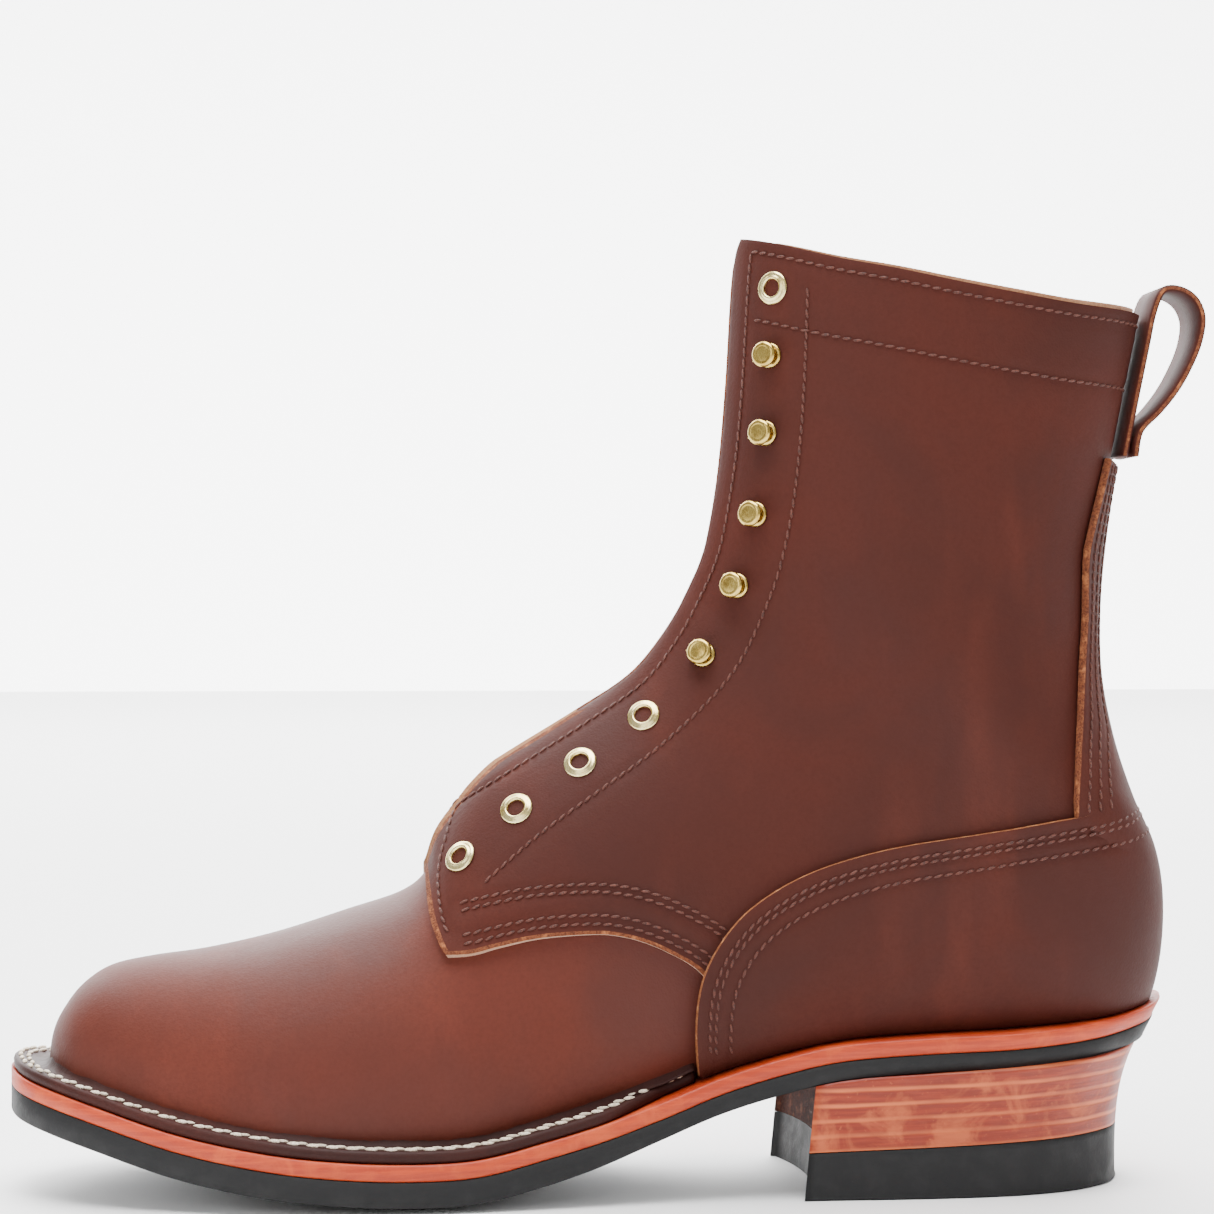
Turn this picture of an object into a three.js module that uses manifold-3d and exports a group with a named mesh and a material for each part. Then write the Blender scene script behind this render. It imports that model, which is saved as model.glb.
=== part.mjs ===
// A lace-up ankle boot for the left foot, with a stitched-down sole and a stacked leather heel.
// Millimetres. +X runs to the toe, +Y to the outer side of the foot and +Z up.
// The origin is on the floor, under the heel.
import * as THREE from 'three';
import { mergeVertices } from 'three/addons/utils/BufferGeometryUtils.js';
import Module from 'manifold-3d';

const wasm = await Module();
wasm.setup();

// Driving dimensions of the sole
const soleLength = 312.5;
const soleBehindOrigin = 62.5;
const ballWidth = 104;
const outsoleThickness = 6.8;
const waistThickness = 5;
const midsoleThickness = 4.4;
const edgeLift = 2.2;
const insoleThickness = 4;

// Driving dimensions of the heel
const heelStackHeight = 19.9;
const topLiftHeight = 13.8;
const topLiftPitch = 0.03;
const heelDraft = 6.3;
const heelNarrowing = 0.12;
const heelCurve = 3.5;
const breastLean = 3;
const breastDish = 6;

// Driving dimensions of the upper
const shaftHeight = 203;
const vampThickness = 2.4;
const leatherThickness = 2.2;
const backingThickness = 0.4;
const flangeThickness = 3.3;
const flangeSetback = 0.6;
const tongueThickness = 2;
const strapThickness = 1.8;
const strapWidth = 22;

// Driving dimensions of the brass fittings
const eyeletRadius = 4.5;
const eyeletHoleRadius = 2.3;
const eyeletWall = 0.6;
const eyeletRoll = 0.9;
const hookRadius = 3.4;
const hookHeight = 4.2;
const hookSheet = 1.1;

// Clearances
const gap = 0.3;
const strapSlack = 0.4;
const eyeletEnd = 0.6;
const tongueSlack = 0.6;

// How finely curves are cut
const roundSides = 26;
const fittingSides = 8;
const heelSteps = 8;
const heelShares = [0.6, 0.8, 1];
const heelHeadroom = 5;
const midsoleDraftShare = 0.3;
const outsoleDraftShare = 0.32;
const undersideDraftShare = 0.7;
const legSteps = 5;
const legsApart = 1.3;
const hookMouth = 0.35;
const hookCapEdge = 0.6;
const hookCapTop = 0.75;
const stripCount = 36;
const endSteps = 5;
const middleSteps = 22;
const roundEndShare = 0.1;
const tipCut = 0.1;
const crossShares = [0, 0.25, 0.5, 0.75, 1];

const heelRise = heelStackHeight + topLiftHeight;

// A table's rows as objects, one named column each
function table(columns, rows) {
  return rows.map((row) => Object.fromEntries(columns.map((name, i) => [name, row[i]])));
}

// The underside of the sole. along is a share of the sole's length from its back end, rise a share
// of the heel's rise, and lift a share of the edge lift.
const soleLine = table(['along', 'rise', 'lift'], [
  [0.000, 1.193, 0], [0.072, 1.074, 0], [0.149, 1.009, 0], [0.226, 0.982, 0],
  [0.299, 0.929, 0], [0.350, 0.828, 0], [0.402, 0.685, 0], [0.453, 0.484, 0.2],
  [0.504, 0.282, 0.45], [0.552, 0.131, 0.7], [0.603, 0.012, 0.9], [0.648, -0.015, 0.95],
  [0.712, -0.003, 1.05], [0.776, 0.062, 1], [0.850, 0.202, 0.8], [0.926, 0.427, 0.45],
  [1.000, 0.638, 0],
]);

// The sole's outline from above. across is a share of the ball width, outer side positive.
const soleOutline = table(['along', 'across'], [
  [0.000, 0.000], [0.014, 0.144], [0.040, 0.236], [0.078, 0.308], [0.136, 0.351],
  [0.216, 0.361], [0.312, 0.351], [0.392, 0.356], [0.456, 0.375], [0.520, 0.404],
  [0.584, 0.433], [0.648, 0.452], [0.712, 0.455], [0.776, 0.442], [0.840, 0.399],
  [0.904, 0.335], [0.952, 0.254], [0.986, 0.145], [1.000, 0.000], [0.998, -0.120],
  [0.981, -0.235], [0.945, -0.355], [0.888, -0.455], [0.824, -0.529], [0.760, -0.562],
  [0.696, -0.548], [0.632, -0.500], [0.568, -0.423], [0.504, -0.346], [0.440, -0.308],
  [0.376, -0.303], [0.312, -0.322], [0.216, -0.346], [0.136, -0.341], [0.078, -0.303],
  [0.040, -0.231], [0.008, -0.115],
]);

// The last, as sections that fan from upright at the toe to level at the collar. Each one runs from
// a front point to a back point: along is a share of the sole's length, up a share of the shaft's
// height over the sole. centre, outer and inner are shares of the ball width, widest is the share of
// the way from front to back, and the two roundness values are superellipse powers.
const lastSections = table(
  ['frontAlong', 'frontUp', 'backAlong', 'backUp', 'centre', 'outer', 'inner', 'widest', 'frontRound', 'backRound'],
  [
    [0.968, 0.024, 0.968, -0.023, -0.038, 0.048, 0.048, 0.55, 2.2, 3],
    [0.965, 0.060, 0.965, -0.026, -0.038, 0.106, 0.106, 0.57, 2.2, 3],
    [0.957, 0.092, 0.957, -0.026, -0.038, 0.168, 0.168, 0.60, 2.2, 3],
    [0.941, 0.132, 0.941, -0.025, -0.038, 0.233, 0.236, 0.62, 2.2, 3],
    [0.917, 0.168, 0.917, -0.025, -0.038, 0.284, 0.294, 0.63, 2.2, 3],
    [0.882, 0.198, 0.882, -0.025, -0.038, 0.333, 0.356, 0.64, 2.2, 3],
    [0.834, 0.229, 0.834, -0.025, -0.038, 0.385, 0.423, 0.65, 2.15, 3],
    [0.776, 0.266, 0.776, -0.029, -0.038, 0.428, 0.466, 0.66, 2.1, 3],
    [0.712, 0.308, 0.712, -0.028, -0.038, 0.442, 0.462, 0.67, 2.05, 3],
    [0.664, 0.336, 0.658, -0.027, -0.029, 0.433, 0.447, 0.67, 2, 3],
    [0.642, 0.368, 0.603, -0.023, -0.024, 0.423, 0.409, 0.67, 2, 3],
    [0.628, 0.423, 0.546, -0.028, -0.019, 0.394, 0.365, 0.66, 2, 3],
    [0.587, 0.491, 0.475, -0.023, -0.014, 0.365, 0.327, 0.64, 2, 3],
    [0.530, 0.525, 0.386, -0.022, -0.010, 0.346, 0.317, 0.62, 2, 3],
    [0.480, 0.551, 0.277, -0.026, -0.005, 0.327, 0.317, 0.60, 2, 3],
    [0.445, 0.589, 0.162, -0.023, 0, 0.317, 0.317, 0.58, 2.05, 3],
    [0.424, 0.629, 0.066, -0.024, 0, 0.317, 0.317, 0.56, 2.1, 2.9],
    [0.417, 0.644, 0.035, -0.006, 0, 0.317, 0.317, 0.55, 2.1, 2.8],
    [0.411, 0.663, 0.020, 0.047, 0, 0.317, 0.317, 0.54, 2.15, 2.6],
    [0.405, 0.684, 0.015, 0.124, 0, 0.322, 0.322, 0.53, 2.2, 2.4],
    [0.400, 0.723, 0.021, 0.195, 0, 0.327, 0.327, 0.52, 2.2, 2.3],
    [0.394, 0.770, 0.040, 0.269, 0, 0.327, 0.327, 0.51, 2.2, 2.2],
    [0.390, 0.820, 0.058, 0.358, 0, 0.322, 0.322, 0.50, 2.2, 2.2],
    [0.387, 0.877, 0.069, 0.454, 0, 0.317, 0.317, 0.50, 2.2, 2.2],
    [0.384, 0.926, 0.069, 0.563, 0, 0.317, 0.317, 0.50, 2.2, 2.2],
    [0.382, 0.974, 0.060, 0.679, 0, 0.317, 0.317, 0.50, 2.2, 2.2],
    [0.380, 1.027, 0.046, 0.788, 0, 0.322, 0.322, 0.50, 2.2, 2.2],
    [0.373, 1.117, 0.022, 0.959, 0, 0.327, 0.327, 0.50, 2.2, 2.2],
  ],
);

// The last section that is all vamp, and the first that is all shaft
const vampEnds = 14;
const shaftStarts = 17;

// Edges in the side view, as shares of the sole's length and of the shaft's height over the sole
const throatEdge = table(['along', 'up'], [
  [0.629, 0.263], [0.634, 0.276], [0.640, 0.309], [0.641, 0.356], [0.638, 0.390],
  [0.633, 0.415], [0.628, 0.437], [0.616, 0.462], [0.568, 0.496], [0.513, 0.525],
  [0.465, 0.550], [0.437, 0.586], [0.417, 0.627], [0.402, 0.671], [0.394, 0.720],
  [0.386, 0.797], [0.380, 0.900], [0.376, 1.004], [0.373, 1.056], [0.369, 1.077],
]);
const quarterLowerEdge = table(['along', 'up'], [
  [0.629, 0.263], [0.608, 0.264], [0.586, 0.267], [0.552, 0.264], [0.508, 0.249],
  [0.485, 0.234], [0.463, 0.212], [0.440, 0.182], [0.423, 0.155], [0.405, 0.117],
]);
const counterEdge = table(['along', 'up'], [
  [0.032, 0.270], [0.106, 0.272], [0.173, 0.262], [0.248, 0.249], [0.297, 0.237],
  [0.334, 0.227], [0.366, 0.212], [0.390, 0.192], [0.409, 0.162], [0.420, 0.127],
  [0.424, 0.078], [0.422, 0.026],
]);
const collarLine = table(['along', 'up'], [
  [0.369, 1.077], [0.346, 1.057], [0.299, 1.020], [0.250, 0.998], [0.199, 0.978],
  [0.147, 0.961], [0.092, 0.943], [0.022, 0.922],
]);
const backstayEdge = table(['along', 'up'], [
  [0.067, 0.742], [0.075, 0.696], [0.084, 0.647], [0.089, 0.610], [0.090, 0.529],
  [0.094, 0.462], [0.098, 0.396], [0.102, 0.331], [0.102, 0.262],
]);
const fittingLine = table(['kind', 'along', 'up'], [
  ['eyelet', 0.348, 0.999], ['hook', 0.350, 0.911], ['hook', 0.354, 0.811],
  ['hook', 0.362, 0.708], ['hook', 0.377, 0.621], ['hook', 0.407, 0.543],
  ['eyelet', 0.459, 0.495], ['eyelet', 0.514, 0.464], ['eyelet', 0.568, 0.429],
  ['eyelet', 0.614, 0.382],
]);
const loopArc = table(['along', 'up'], [
  [0.024, 0.766], [0.008, 0.787], [-0.006, 0.811], [-0.017, 0.839], [-0.027, 0.874],
  [-0.031, 0.906], [-0.028, 0.927], [-0.020, 0.942], [-0.007, 0.950], [0.005, 0.947],
]);

// Where parts of the tables begin and end
const vampThroatRow = 5;
const breastAlong = 0.331;
const forefootAlong = 0.56;
const waistAlong = 0.42;
const flangeFullAlong = 0.51;
const flangeEndAlong = 0.40;
const tongueReach = 26;
const tongueToe = 148;
const vampClearance = 0.1;
const tongueFreeFrom = 8;
const tongueFreeAt = 10;
const tongueDrop = 5;
const far = 400;

function clamp(value, low, high) {
  return Math.min(high, Math.max(low, value));
}

function blend(value, low, high) {
  const t = clamp((value - low) / (high - low), 0, 1);
  return t * t * (3 - 2 * t);
}

// A smooth value of one column, read at a share along the sole
function column(rows, name, along) {
  const last = rows.length - 1;
  const at = clamp(along, rows[0].along, rows[last].along);
  let i = rows.findIndex((row, k) => k < last && at <= rows[k + 1].along);
  i = Math.max(i, 0);
  const slope = (k) => {
    const a = rows[Math.max(k - 1, 0)];
    const b = rows[Math.min(k + 1, last)];
    return (b[name] - a[name]) / (b.along - a.along);
  };
  const span = rows[i + 1].along - rows[i].along;
  const t = (at - rows[i].along) / span;
  const rise = rows[i + 1][name] - rows[i][name];
  const ease = t * t * (3 - 2 * t);
  const lead = slope(i) * span * t * (1 - t) * (1 - t);
  const trail = slope(i + 1) * span * t * t * (t - 1);
  return rows[i][name] + rise * ease + lead + trail;
}

function alongOf(x) {
  return (x + soleBehindOrigin) / soleLength;
}

function xAt(along) {
  return along * soleLength - soleBehindOrigin;
}

const outlinePoints = new THREE.CatmullRomCurve3(
  soleOutline.map((row) => new THREE.Vector3(xAt(row.along), row.across * ballWidth, 0)),
  true, 'catmullrom', 0.5,
).getPoints(2 * soleOutline.length).slice(0, -1).map((p) => new THREE.Vector2(p.x, p.y));

// How far the sole reaches to one side at a place along it
function soleHalf(x, side) {
  const [low, high] = edgesAt(outlinePoints, clamp(x, xAt(0) + tipCut, xAt(1) - tipCut));
  return Math.max(side > 0 ? high : -low, 1);
}

// Heights of the sole's layers at a place seen from above
function underside(x, y) {
  const along = alongOf(x);
  const share = clamp(Math.abs(y) / soleHalf(x, Math.sign(y) || 1), 0, 1.1);
  const lift = edgeLift * column(soleLine, 'lift', along) * share * share;
  return heelRise * column(soleLine, 'rise', along) + lift;
}

function outsoleTop(x, y) {
  const full = blend(alongOf(x), waistAlong, forefootAlong);
  return underside(x, y) + waistThickness + (outsoleThickness - waistThickness) * full;
}

function seat(x, y) {
  return outsoleTop(x, y) + midsoleThickness;
}

// A place in the side view from its shares
function spot(row) {
  const x = xAt(row.along);
  return new THREE.Vector2(x, seat(x, 0) + row.up * shaftHeight);
}

// A closed mesh as a solid, with its faces turned outwards
function toSolid(geometry) {
  const bare = geometry.clone();
  bare.deleteAttribute('normal');
  bare.deleteAttribute('uv');
  const merged = mergeVertices(bare, 1e-4);
  const vertProperties = new Float32Array(merged.attributes.position.array);
  const triVerts = new Uint32Array(merged.index.array);
  return new wasm.Manifold(new wasm.Mesh({ numProp: 3, vertProperties, triVerts }));
}

function toGeometry(solid) {
  const { vertProperties, triVerts, numProp } = solid.getMesh();
  const positions = new Float32Array(triVerts.length * 3);
  triVerts.forEach((vertex, i) => {
    for (let k = 0; k < 3; k += 1) positions[3 * i + k] = vertProperties[vertex * numProp + k];
  });
  const geometry = new THREE.BufferGeometry();
  geometry.setAttribute('position', new THREE.BufferAttribute(positions, 3));
  geometry.computeVertexNormals();
  return geometry;
}

// A mesh from shared points and triangles, turned outwards by its signed volume
function meshOf(points, triangles) {
  const volume = triangles.reduce((sum, [a, b, c]) => (
    sum + points[a].dot(new THREE.Vector3().crossVectors(points[b], points[c]))), 0);
  const faces = volume < 0 ? triangles.map(([a, b, c]) => [a, c, b]) : triangles;
  const geometry = new THREE.BufferGeometry().setFromPoints(points);
  geometry.setIndex(faces.flat());
  geometry.computeVertexNormals();
  return geometry;
}

// A closed form through rings of equal count, capped at both ends
function loft(rings) {
  const count = rings[0].length;
  const points = rings.flat();
  const triangles = [];
  for (let r = 0; r + 1 < rings.length; r += 1) {
    for (let i = 0; i < count; i += 1) {
      const j = (i + 1) % count;
      const a = r * count + i;
      const b = r * count + j;
      triangles.push([a, b, b + count], [a, b + count, a + count]);
    }
  }
  [[0, 1], [rings.length - 1, -1]].forEach(([r, turn]) => {
    const middle = rings[r].reduce((sum, p) => sum.add(p), new THREE.Vector3()).divideScalar(count);
    points.push(middle);
    for (let i = 0; i < count; i += 1) {
      const a = r * count + i;
      const b = r * count + ((i + 1) % count);
      triangles.push(turn > 0 ? [points.length - 1, b, a] : [points.length - 1, a, b]);
    }
  });
  return meshOf(points, triangles);
}

// The outline moved inwards by a distance that may change along it
function insetOutline(outline, distance) {
  const count = outline.length;
  return outline.map((p, i) => {
    const before = outline[(i + count - 1) % count];
    const after = outline[(i + 1) % count];
    const run = after.clone().sub(before).normalize();
    const inward = new THREE.Vector2(run.y, -run.x);
    return p.clone().addScaledVector(inward, distance(p.x));
  });
}

// Where an outline's two edges lie at a place along it
function edgesAt(outline, x) {
  const crossings = outline.flatMap((a, i) => {
    const b = outline[(i + 1) % outline.length];
    const within = (a.x - x) * (b.x - x) <= 0 && a.x !== b.x;
    return within ? [a.y + (b.y - a.y) * (x - a.x) / (b.x - a.x)] : [];
  });
  return [Math.min(...crossings), Math.max(...crossings)];
}

// Places along an outline, closer together around its two round ends
function stationsOf(outline) {
  const xs = outline.map((p) => p.x);
  const low = Math.min(...xs) + tipCut;
  const high = Math.max(...xs) - tipCut;
  const round = (high - low) * roundEndShare;
  const ends = Array.from({ length: endSteps }, (_, i) => round * (1 - Math.cos(Math.PI / 2 * i / endSteps)));
  const middle = Array.from({ length: middleSteps + 1 }, (_, i) => (
    THREE.MathUtils.lerp(low + round, high - round, i / middleSteps)));
  return [...ends.map((d) => low + d), ...middle, ...ends.reverse().map((d) => high - d)];
}

// A layer of the sole between two curved heights, with a lower and an upper outline
function layer(lower, upper, floorAt, roofAt) {
  const rowsOf = (outline, heightAt) => stationsOf(outline).map((x) => {
    const [low, high] = edgesAt(outline, x);
    return crossShares.map((share) => {
      const y = THREE.MathUtils.lerp(low, high, share);
      return new THREE.Vector3(x, y, heightAt(x, y));
    });
  });
  const floors = rowsOf(lower, floorAt);
  const roofs = rowsOf(upper, roofAt);
  return loft(roofs.map((roof, i) => [...roof, ...floors[i].reverse()]));
}

// A side-view outline pushed right through the boot
function sidePrism(outline) {
  const geometry = new THREE.ExtrudeGeometry(new THREE.Shape(outline), { depth: far, bevelEnabled: false });
  geometry.rotateX(Math.PI / 2);
  geometry.translate(0, far / 2, 0);
  return toSolid(geometry);
}

// Everything below a curved height of the sole
function below(heightAt) {
  const columns = [-2, -1, 0, 1, 2];
  const rings = [];
  for (let i = 0; i <= stripCount; i += 1) {
    const share = i / stripCount;
    const x = xAt(-0.06 + 1.12 * share);
    const top = columns.map((c) => {
      const side = Math.sign(c) || 1;
      const y = Math.abs(c) > 1 ? side * ballWidth : c * soleHalf(x, side);
      return new THREE.Vector3(x, y, heightAt(x, y));
    });
    const floor = [...top].reverse().map((p) => new THREE.Vector3(p.x, p.y, -far / 4));
    rings.push([...top, ...floor]);
  }
  return toSolid(loft(rings));
}

// One fan section of the last at a row number, as plain values in millimetres
function sectionOf(row) {
  return {
    front: spot({ along: row.frontAlong, up: row.frontUp }),
    back: spot({ along: row.backAlong, up: row.backUp }),
    centre: row.centre * ballWidth,
    outer: row.outer * ballWidth,
    inner: row.inner * ballWidth,
    widest: row.widest,
    frontRound: row.frontRound,
    backRound: row.backRound,
  };
}

const sections = lastSections.map(sectionOf);

function sectionPoint(section, angle) {
  const towardFront = Math.cos(angle) > 0;
  const round = towardFront ? section.frontRound : section.backRound;
  const c = Math.abs(Math.cos(angle));
  const s = Math.abs(Math.sin(angle));
  const radius = (c ** round + s ** round) ** (-1 / round);
  const reach = towardFront ? -section.widest : 1 - section.widest;
  const way = section.widest + reach * radius * c;
  const half = Math.sin(angle) >= 0 ? section.outer : -section.inner;
  const place = section.front.clone().lerp(section.back, way);
  return new THREE.Vector3(place.x, section.centre + half * radius * s, place.y);
}

const lastRings = sections.map((section) => (
  Array.from({ length: roundSides }, (_, i) => sectionPoint(section, 2 * Math.PI * i / roundSides))));

const lastNormals = lastRings.map((ring, r) => ring.map((_, i) => {
  const before = lastRings[Math.max(r - 1, 0)][i];
  const after = lastRings[Math.min(r + 1, lastRings.length - 1)][i];
  const left = ring[(i + roundSides - 1) % roundSides];
  const right = ring[(i + 1) % roundSides];
  const run = after.clone().sub(before);
  const turn = right.clone().sub(left);
  return turn.cross(run).normalize();
}));

// The last's form, moved outwards by a distance that may change from section to section
function lastForm(distanceAt) {
  return toSolid(loft(lastRings.map((ring, r) => ring.map((p, i) => {
    const limit = 0.6 * sections[r].outer;
    const distance = Math.max(distanceAt(r), -limit);
    return p.clone().addScaledVector(lastNormals[r][i], distance);
  }))));
}

function wallInside(r) {
  return -(vampThickness + (backingThickness - vampThickness) * blend(r, vampEnds, shaftStarts));
}

const insideForm = lastForm(wallInside);
const groundUnderUpper = below((x, y) => seat(x, y) + gap);

// The section through a place in the side view: its row number and how far along it the place lies
function sectionThrough(x, z) {
  const cross = (section) => {
    const run = section.back.clone().sub(section.front);
    return run.x * (z - section.front.y) - run.y * (x - section.front.x);
  };
  for (let r = sections.length - 2; r >= 0; r -= 1) {
    const a = cross(sections[r]);
    const b = cross(sections[r + 1]);
    if (a * b > 0) continue;
    const t = a / (a - b);
    const front = sections[r].front.clone().lerp(sections[r + 1].front, t);
    const back = sections[r].back.clone().lerp(sections[r + 1].back, t);
    const run = back.clone().sub(front);
    const way = clamp(new THREE.Vector2(x, z).sub(front).dot(run) / run.lengthSq(), 0, 1);
    return { row: r + t, way };
  }
  return { row: 0, way: 0 };
}

// The form's half width at a place in the side view
function halfWidth(x, z, side) {
  const { row, way } = sectionThrough(x, z);
  const r = Math.floor(row);
  const mix = (name) => THREE.MathUtils.lerp(sections[r][name], sections[r + 1][name], row - r);
  const widest = mix('widest');
  const round = way < widest ? mix('frontRound') : mix('backRound');
  const off = way < widest ? (widest - way) / widest : (way - widest) / (1 - widest);
  const half = (1 - off ** round) ** (1 / round);
  return mix('centre') * side + half * (side > 0 ? mix('outer') : mix('inner'));
}

// A place on the last's surface with its outward normal
function surfaceSpot(place, side) {
  const step = 2;
  const y = halfWidth(place.x, place.y, side);
  const alongX = halfWidth(place.x + step, place.y, side) - halfWidth(place.x - step, place.y, side);
  const alongZ = halfWidth(place.x, place.y + step, side) - halfWidth(place.x, place.y - step, side);
  const normal = new THREE.Vector3(-alongX / (2 * step), side, -alongZ / (2 * step)).normalize();
  return { point: new THREE.Vector3(place.x, y * side, place.y), normal };
}

// Side-view zones of the panels
const throatPoints = throatEdge.map(spot);
const collarPoints = collarLine.map(spot);
const counterPoints = counterEdge.map(spot);
const backEnd = xAt(0) - soleBehindOrigin;
const top = Math.max(...collarPoints.map((p) => p.y)) + soleBehindOrigin;

function quarterZone(extra) {
  const moved = (p) => new THREE.Vector2(p.x + extra, p.y - extra);
  const front = throatPoints.map(moved);
  const lower = quarterLowerEdge.slice(1).map(spot).map(moved);
  const end = lower[lower.length - 1];
  return sidePrism([
    ...front.slice().reverse(),
    ...lower,
    new THREE.Vector2(end.x, -gap),
    new THREE.Vector2(backEnd, -gap),
    new THREE.Vector2(backEnd, top),
    new THREE.Vector2(front[front.length - 1].x, top),
  ]);
}

function aboveCollar() {
  const first = collarPoints[0];
  return sidePrism([
    new THREE.Vector2(first.x + soleLength, first.y + 1),
    ...collarPoints,
    new THREE.Vector2(backEnd, collarPoints[collarPoints.length - 1].y),
    new THREE.Vector2(backEnd, top + shaftHeight),
    new THREE.Vector2(first.x + soleLength, top + shaftHeight),
  ]);
}

function throatZone() {
  const edge = throatPoints.slice(vampThroatRow);
  const last = edge[edge.length - 1];
  return sidePrism([
    ...edge,
    new THREE.Vector2(last.x, top),
    new THREE.Vector2(last.x + soleLength, top),
    new THREE.Vector2(edge[0].x + soleLength, edge[0].y),
  ]);
}

function counterZone(extra) {
  const last = counterPoints[counterPoints.length - 1];
  const raised = counterPoints.map((p) => new THREE.Vector2(p.x + extra, p.y + extra));
  return sidePrism([
    new THREE.Vector2(backEnd, raised[0].y),
    ...raised,
    new THREE.Vector2(last.x + extra, -gap),
    new THREE.Vector2(backEnd, -gap),
  ]);
}

// Eyelets and hooks stand on both facings
const fittingSpots = fittingLine.map((row, i) => {
  const before = spot(fittingLine[Math.max(i - 1, 0)]);
  const after = spot(fittingLine[Math.min(i + 1, fittingLine.length - 1)]);
  const run = after.sub(before).normalize();
  return { kind: row.kind, place: spot(row), toThroat: new THREE.Vector2(-run.y, run.x) };
});

function fittingMatrix(fitting, side) {
  const { point, normal } = surfaceSpot(fitting.place, side);
  const toThroat = new THREE.Vector3(fitting.toThroat.x, 0, fitting.toThroat.y);
  const forward = toThroat.addScaledVector(normal, -toThroat.dot(normal)).normalize();
  const sideways = new THREE.Vector3().crossVectors(normal, forward);
  const matrix = new THREE.Matrix4().makeBasis(forward, sideways, normal);
  return matrix.setPosition(point.addScaledVector(normal, leatherThickness));
}

const barrelRadius = eyeletHoleRadius + eyeletWall;

function eyeletBore(fitting, side) {
  const bore = new THREE.CylinderGeometry(barrelRadius + gap, barrelRadius + gap, hookHeight * 4, fittingSides);
  bore.rotateX(Math.PI / 2);
  bore.applyMatrix4(fittingMatrix(fitting, side));
  return toSolid(bore);
}

// The flange follows the sole's edge over the forefoot and runs in under the upper at the waist
function flangeInset(x) {
  const full = blend(alongOf(x), flangeEndAlong, flangeFullAlong);
  return flangeSetback + (1 - full) * ballWidth / 6;
}

function flange() {
  const outline = insetOutline(outlinePoints, flangeInset);
  const plate = toSolid(layer(
    outline, outline,
    (x, y) => seat(x, y) + gap,
    (x, y) => seat(x, y) + gap + flangeThickness,
  ));
  const x = xAt(flangeEndAlong);
  return plate.intersect(sidePrism([
    new THREE.Vector2(x, -far / 4),
    new THREE.Vector2(x + soleLength, -far / 4),
    new THREE.Vector2(x + soleLength, far),
    new THREE.Vector2(x, far),
  ]));
}

// The whole wall of the boot: the vamp's leather and, a step out from it, the quarters'
function upperWall() {
  const quarters = lastForm(() => leatherThickness).intersect(quarterZone(0));
  const whole = lastForm(() => 0).subtract(throatZone()).add(quarters).add(flange());
  return whole.subtract(insideForm).subtract(groundUnderUpper).subtract(aboveCollar());
}

const wallOfUpper = upperWall();

// Vamp: the toe and the instep, with the flange that is stitched to the midsole
function vamp() {
  const front = wallOfUpper.subtract(quarterZone(0)).subtract(quarterZone(gap));
  return toGeometry(front.subtract(throatZone().translate([-gap, 0, 0])));
}

// Quarters: both sides of the shaft with their facings, joined behind the heel
function quarters() {
  const bores = fittingSpots.filter((fitting) => fitting.kind === 'eyelet')
    .flatMap((fitting) => [eyeletBore(fitting, 1), eyeletBore(fitting, -1)]);
  return toGeometry(bores.reduce((solid, bore) => solid.subtract(bore), wallOfUpper.intersect(quarterZone(0))));
}

// A second layer of leather over the quarters
function overlay() {
  const under = lastForm(() => leatherThickness + gap);
  return lastForm(() => 2 * leatherThickness + gap).subtract(under);
}

function counter() {
  return toGeometry(overlay().intersect(counterZone(0)).subtract(groundUnderUpper));
}

function backstay() {
  const edge = backstayEdge.map(spot);
  const zone = sidePrism([
    new THREE.Vector2(backEnd, edge[0].y),
    ...edge,
    new THREE.Vector2(backEnd, edge[edge.length - 1].y),
  ]);
  return toGeometry(overlay().intersect(zone).subtract(counterZone(gap)));
}

// The back of the quarters at a height, from the sections' back ends
function shaftBack(z) {
  const backs = sections.map((section) => section.back);
  for (let r = shaftStarts; r + 1 < backs.length; r += 1) {
    if (z <= backs[r + 1].y) {
      const t = (z - backs[r].y) / (backs[r + 1].y - backs[r].y);
      return THREE.MathUtils.lerp(backs[r].x, backs[r + 1].x, t) - leatherThickness;
    }
  }
  return backs[backs.length - 1].x - leatherThickness;
}

// Pull loop: one strip, up the back of the shaft, over and down again
function pullLoop() {
  const foot = spot(backstayEdge[0]).y + gap;
  const arc = loopArc.map(spot);
  const legTop = collarPoints[collarPoints.length - 1].y;
  const inner = [];
  for (let i = 0; i <= legSteps; i += 1) {
    const z = THREE.MathUtils.lerp(legTop, foot, i / legSteps);
    inner.push(new THREE.Vector2(shaftBack(z) - strapSlack - strapThickness, z));
  }
  const start = new THREE.Vector2(shaftBack(foot) - strapSlack - 2 * strapThickness - legsApart, foot);
  const path = [start, ...arc, ...inner];
  const left = [];
  const right = [];
  path.forEach((p, i) => {
    const before = path[Math.max(i - 1, 0)];
    const after = path[Math.min(i + 1, path.length - 1)];
    const run = after.clone().sub(before).normalize();
    const across = new THREE.Vector2(-run.y, run.x).multiplyScalar(strapThickness / 2);
    left.push(p.clone().add(across));
    right.push(p.clone().sub(across));
  });
  const shape = new THREE.Shape([...left, ...right.reverse()]);
  const geometry = new THREE.ExtrudeGeometry(shape, { depth: strapWidth, bevelEnabled: false });
  geometry.rotateX(Math.PI / 2);
  geometry.translate(0, strapWidth / 2, 0);
  return geometry;
}

// Tongue: a curved sheet behind the throat, sewn under the vamp
function tongueInset(r) {
  const nearVamp = gap + vampClearance;
  const behindEyelets = eyeletEnd + tongueSlack + gap;
  return nearVamp + (behindEyelets - nearVamp) * blend(r, tongueFreeFrom, tongueFreeAt);
}

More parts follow.
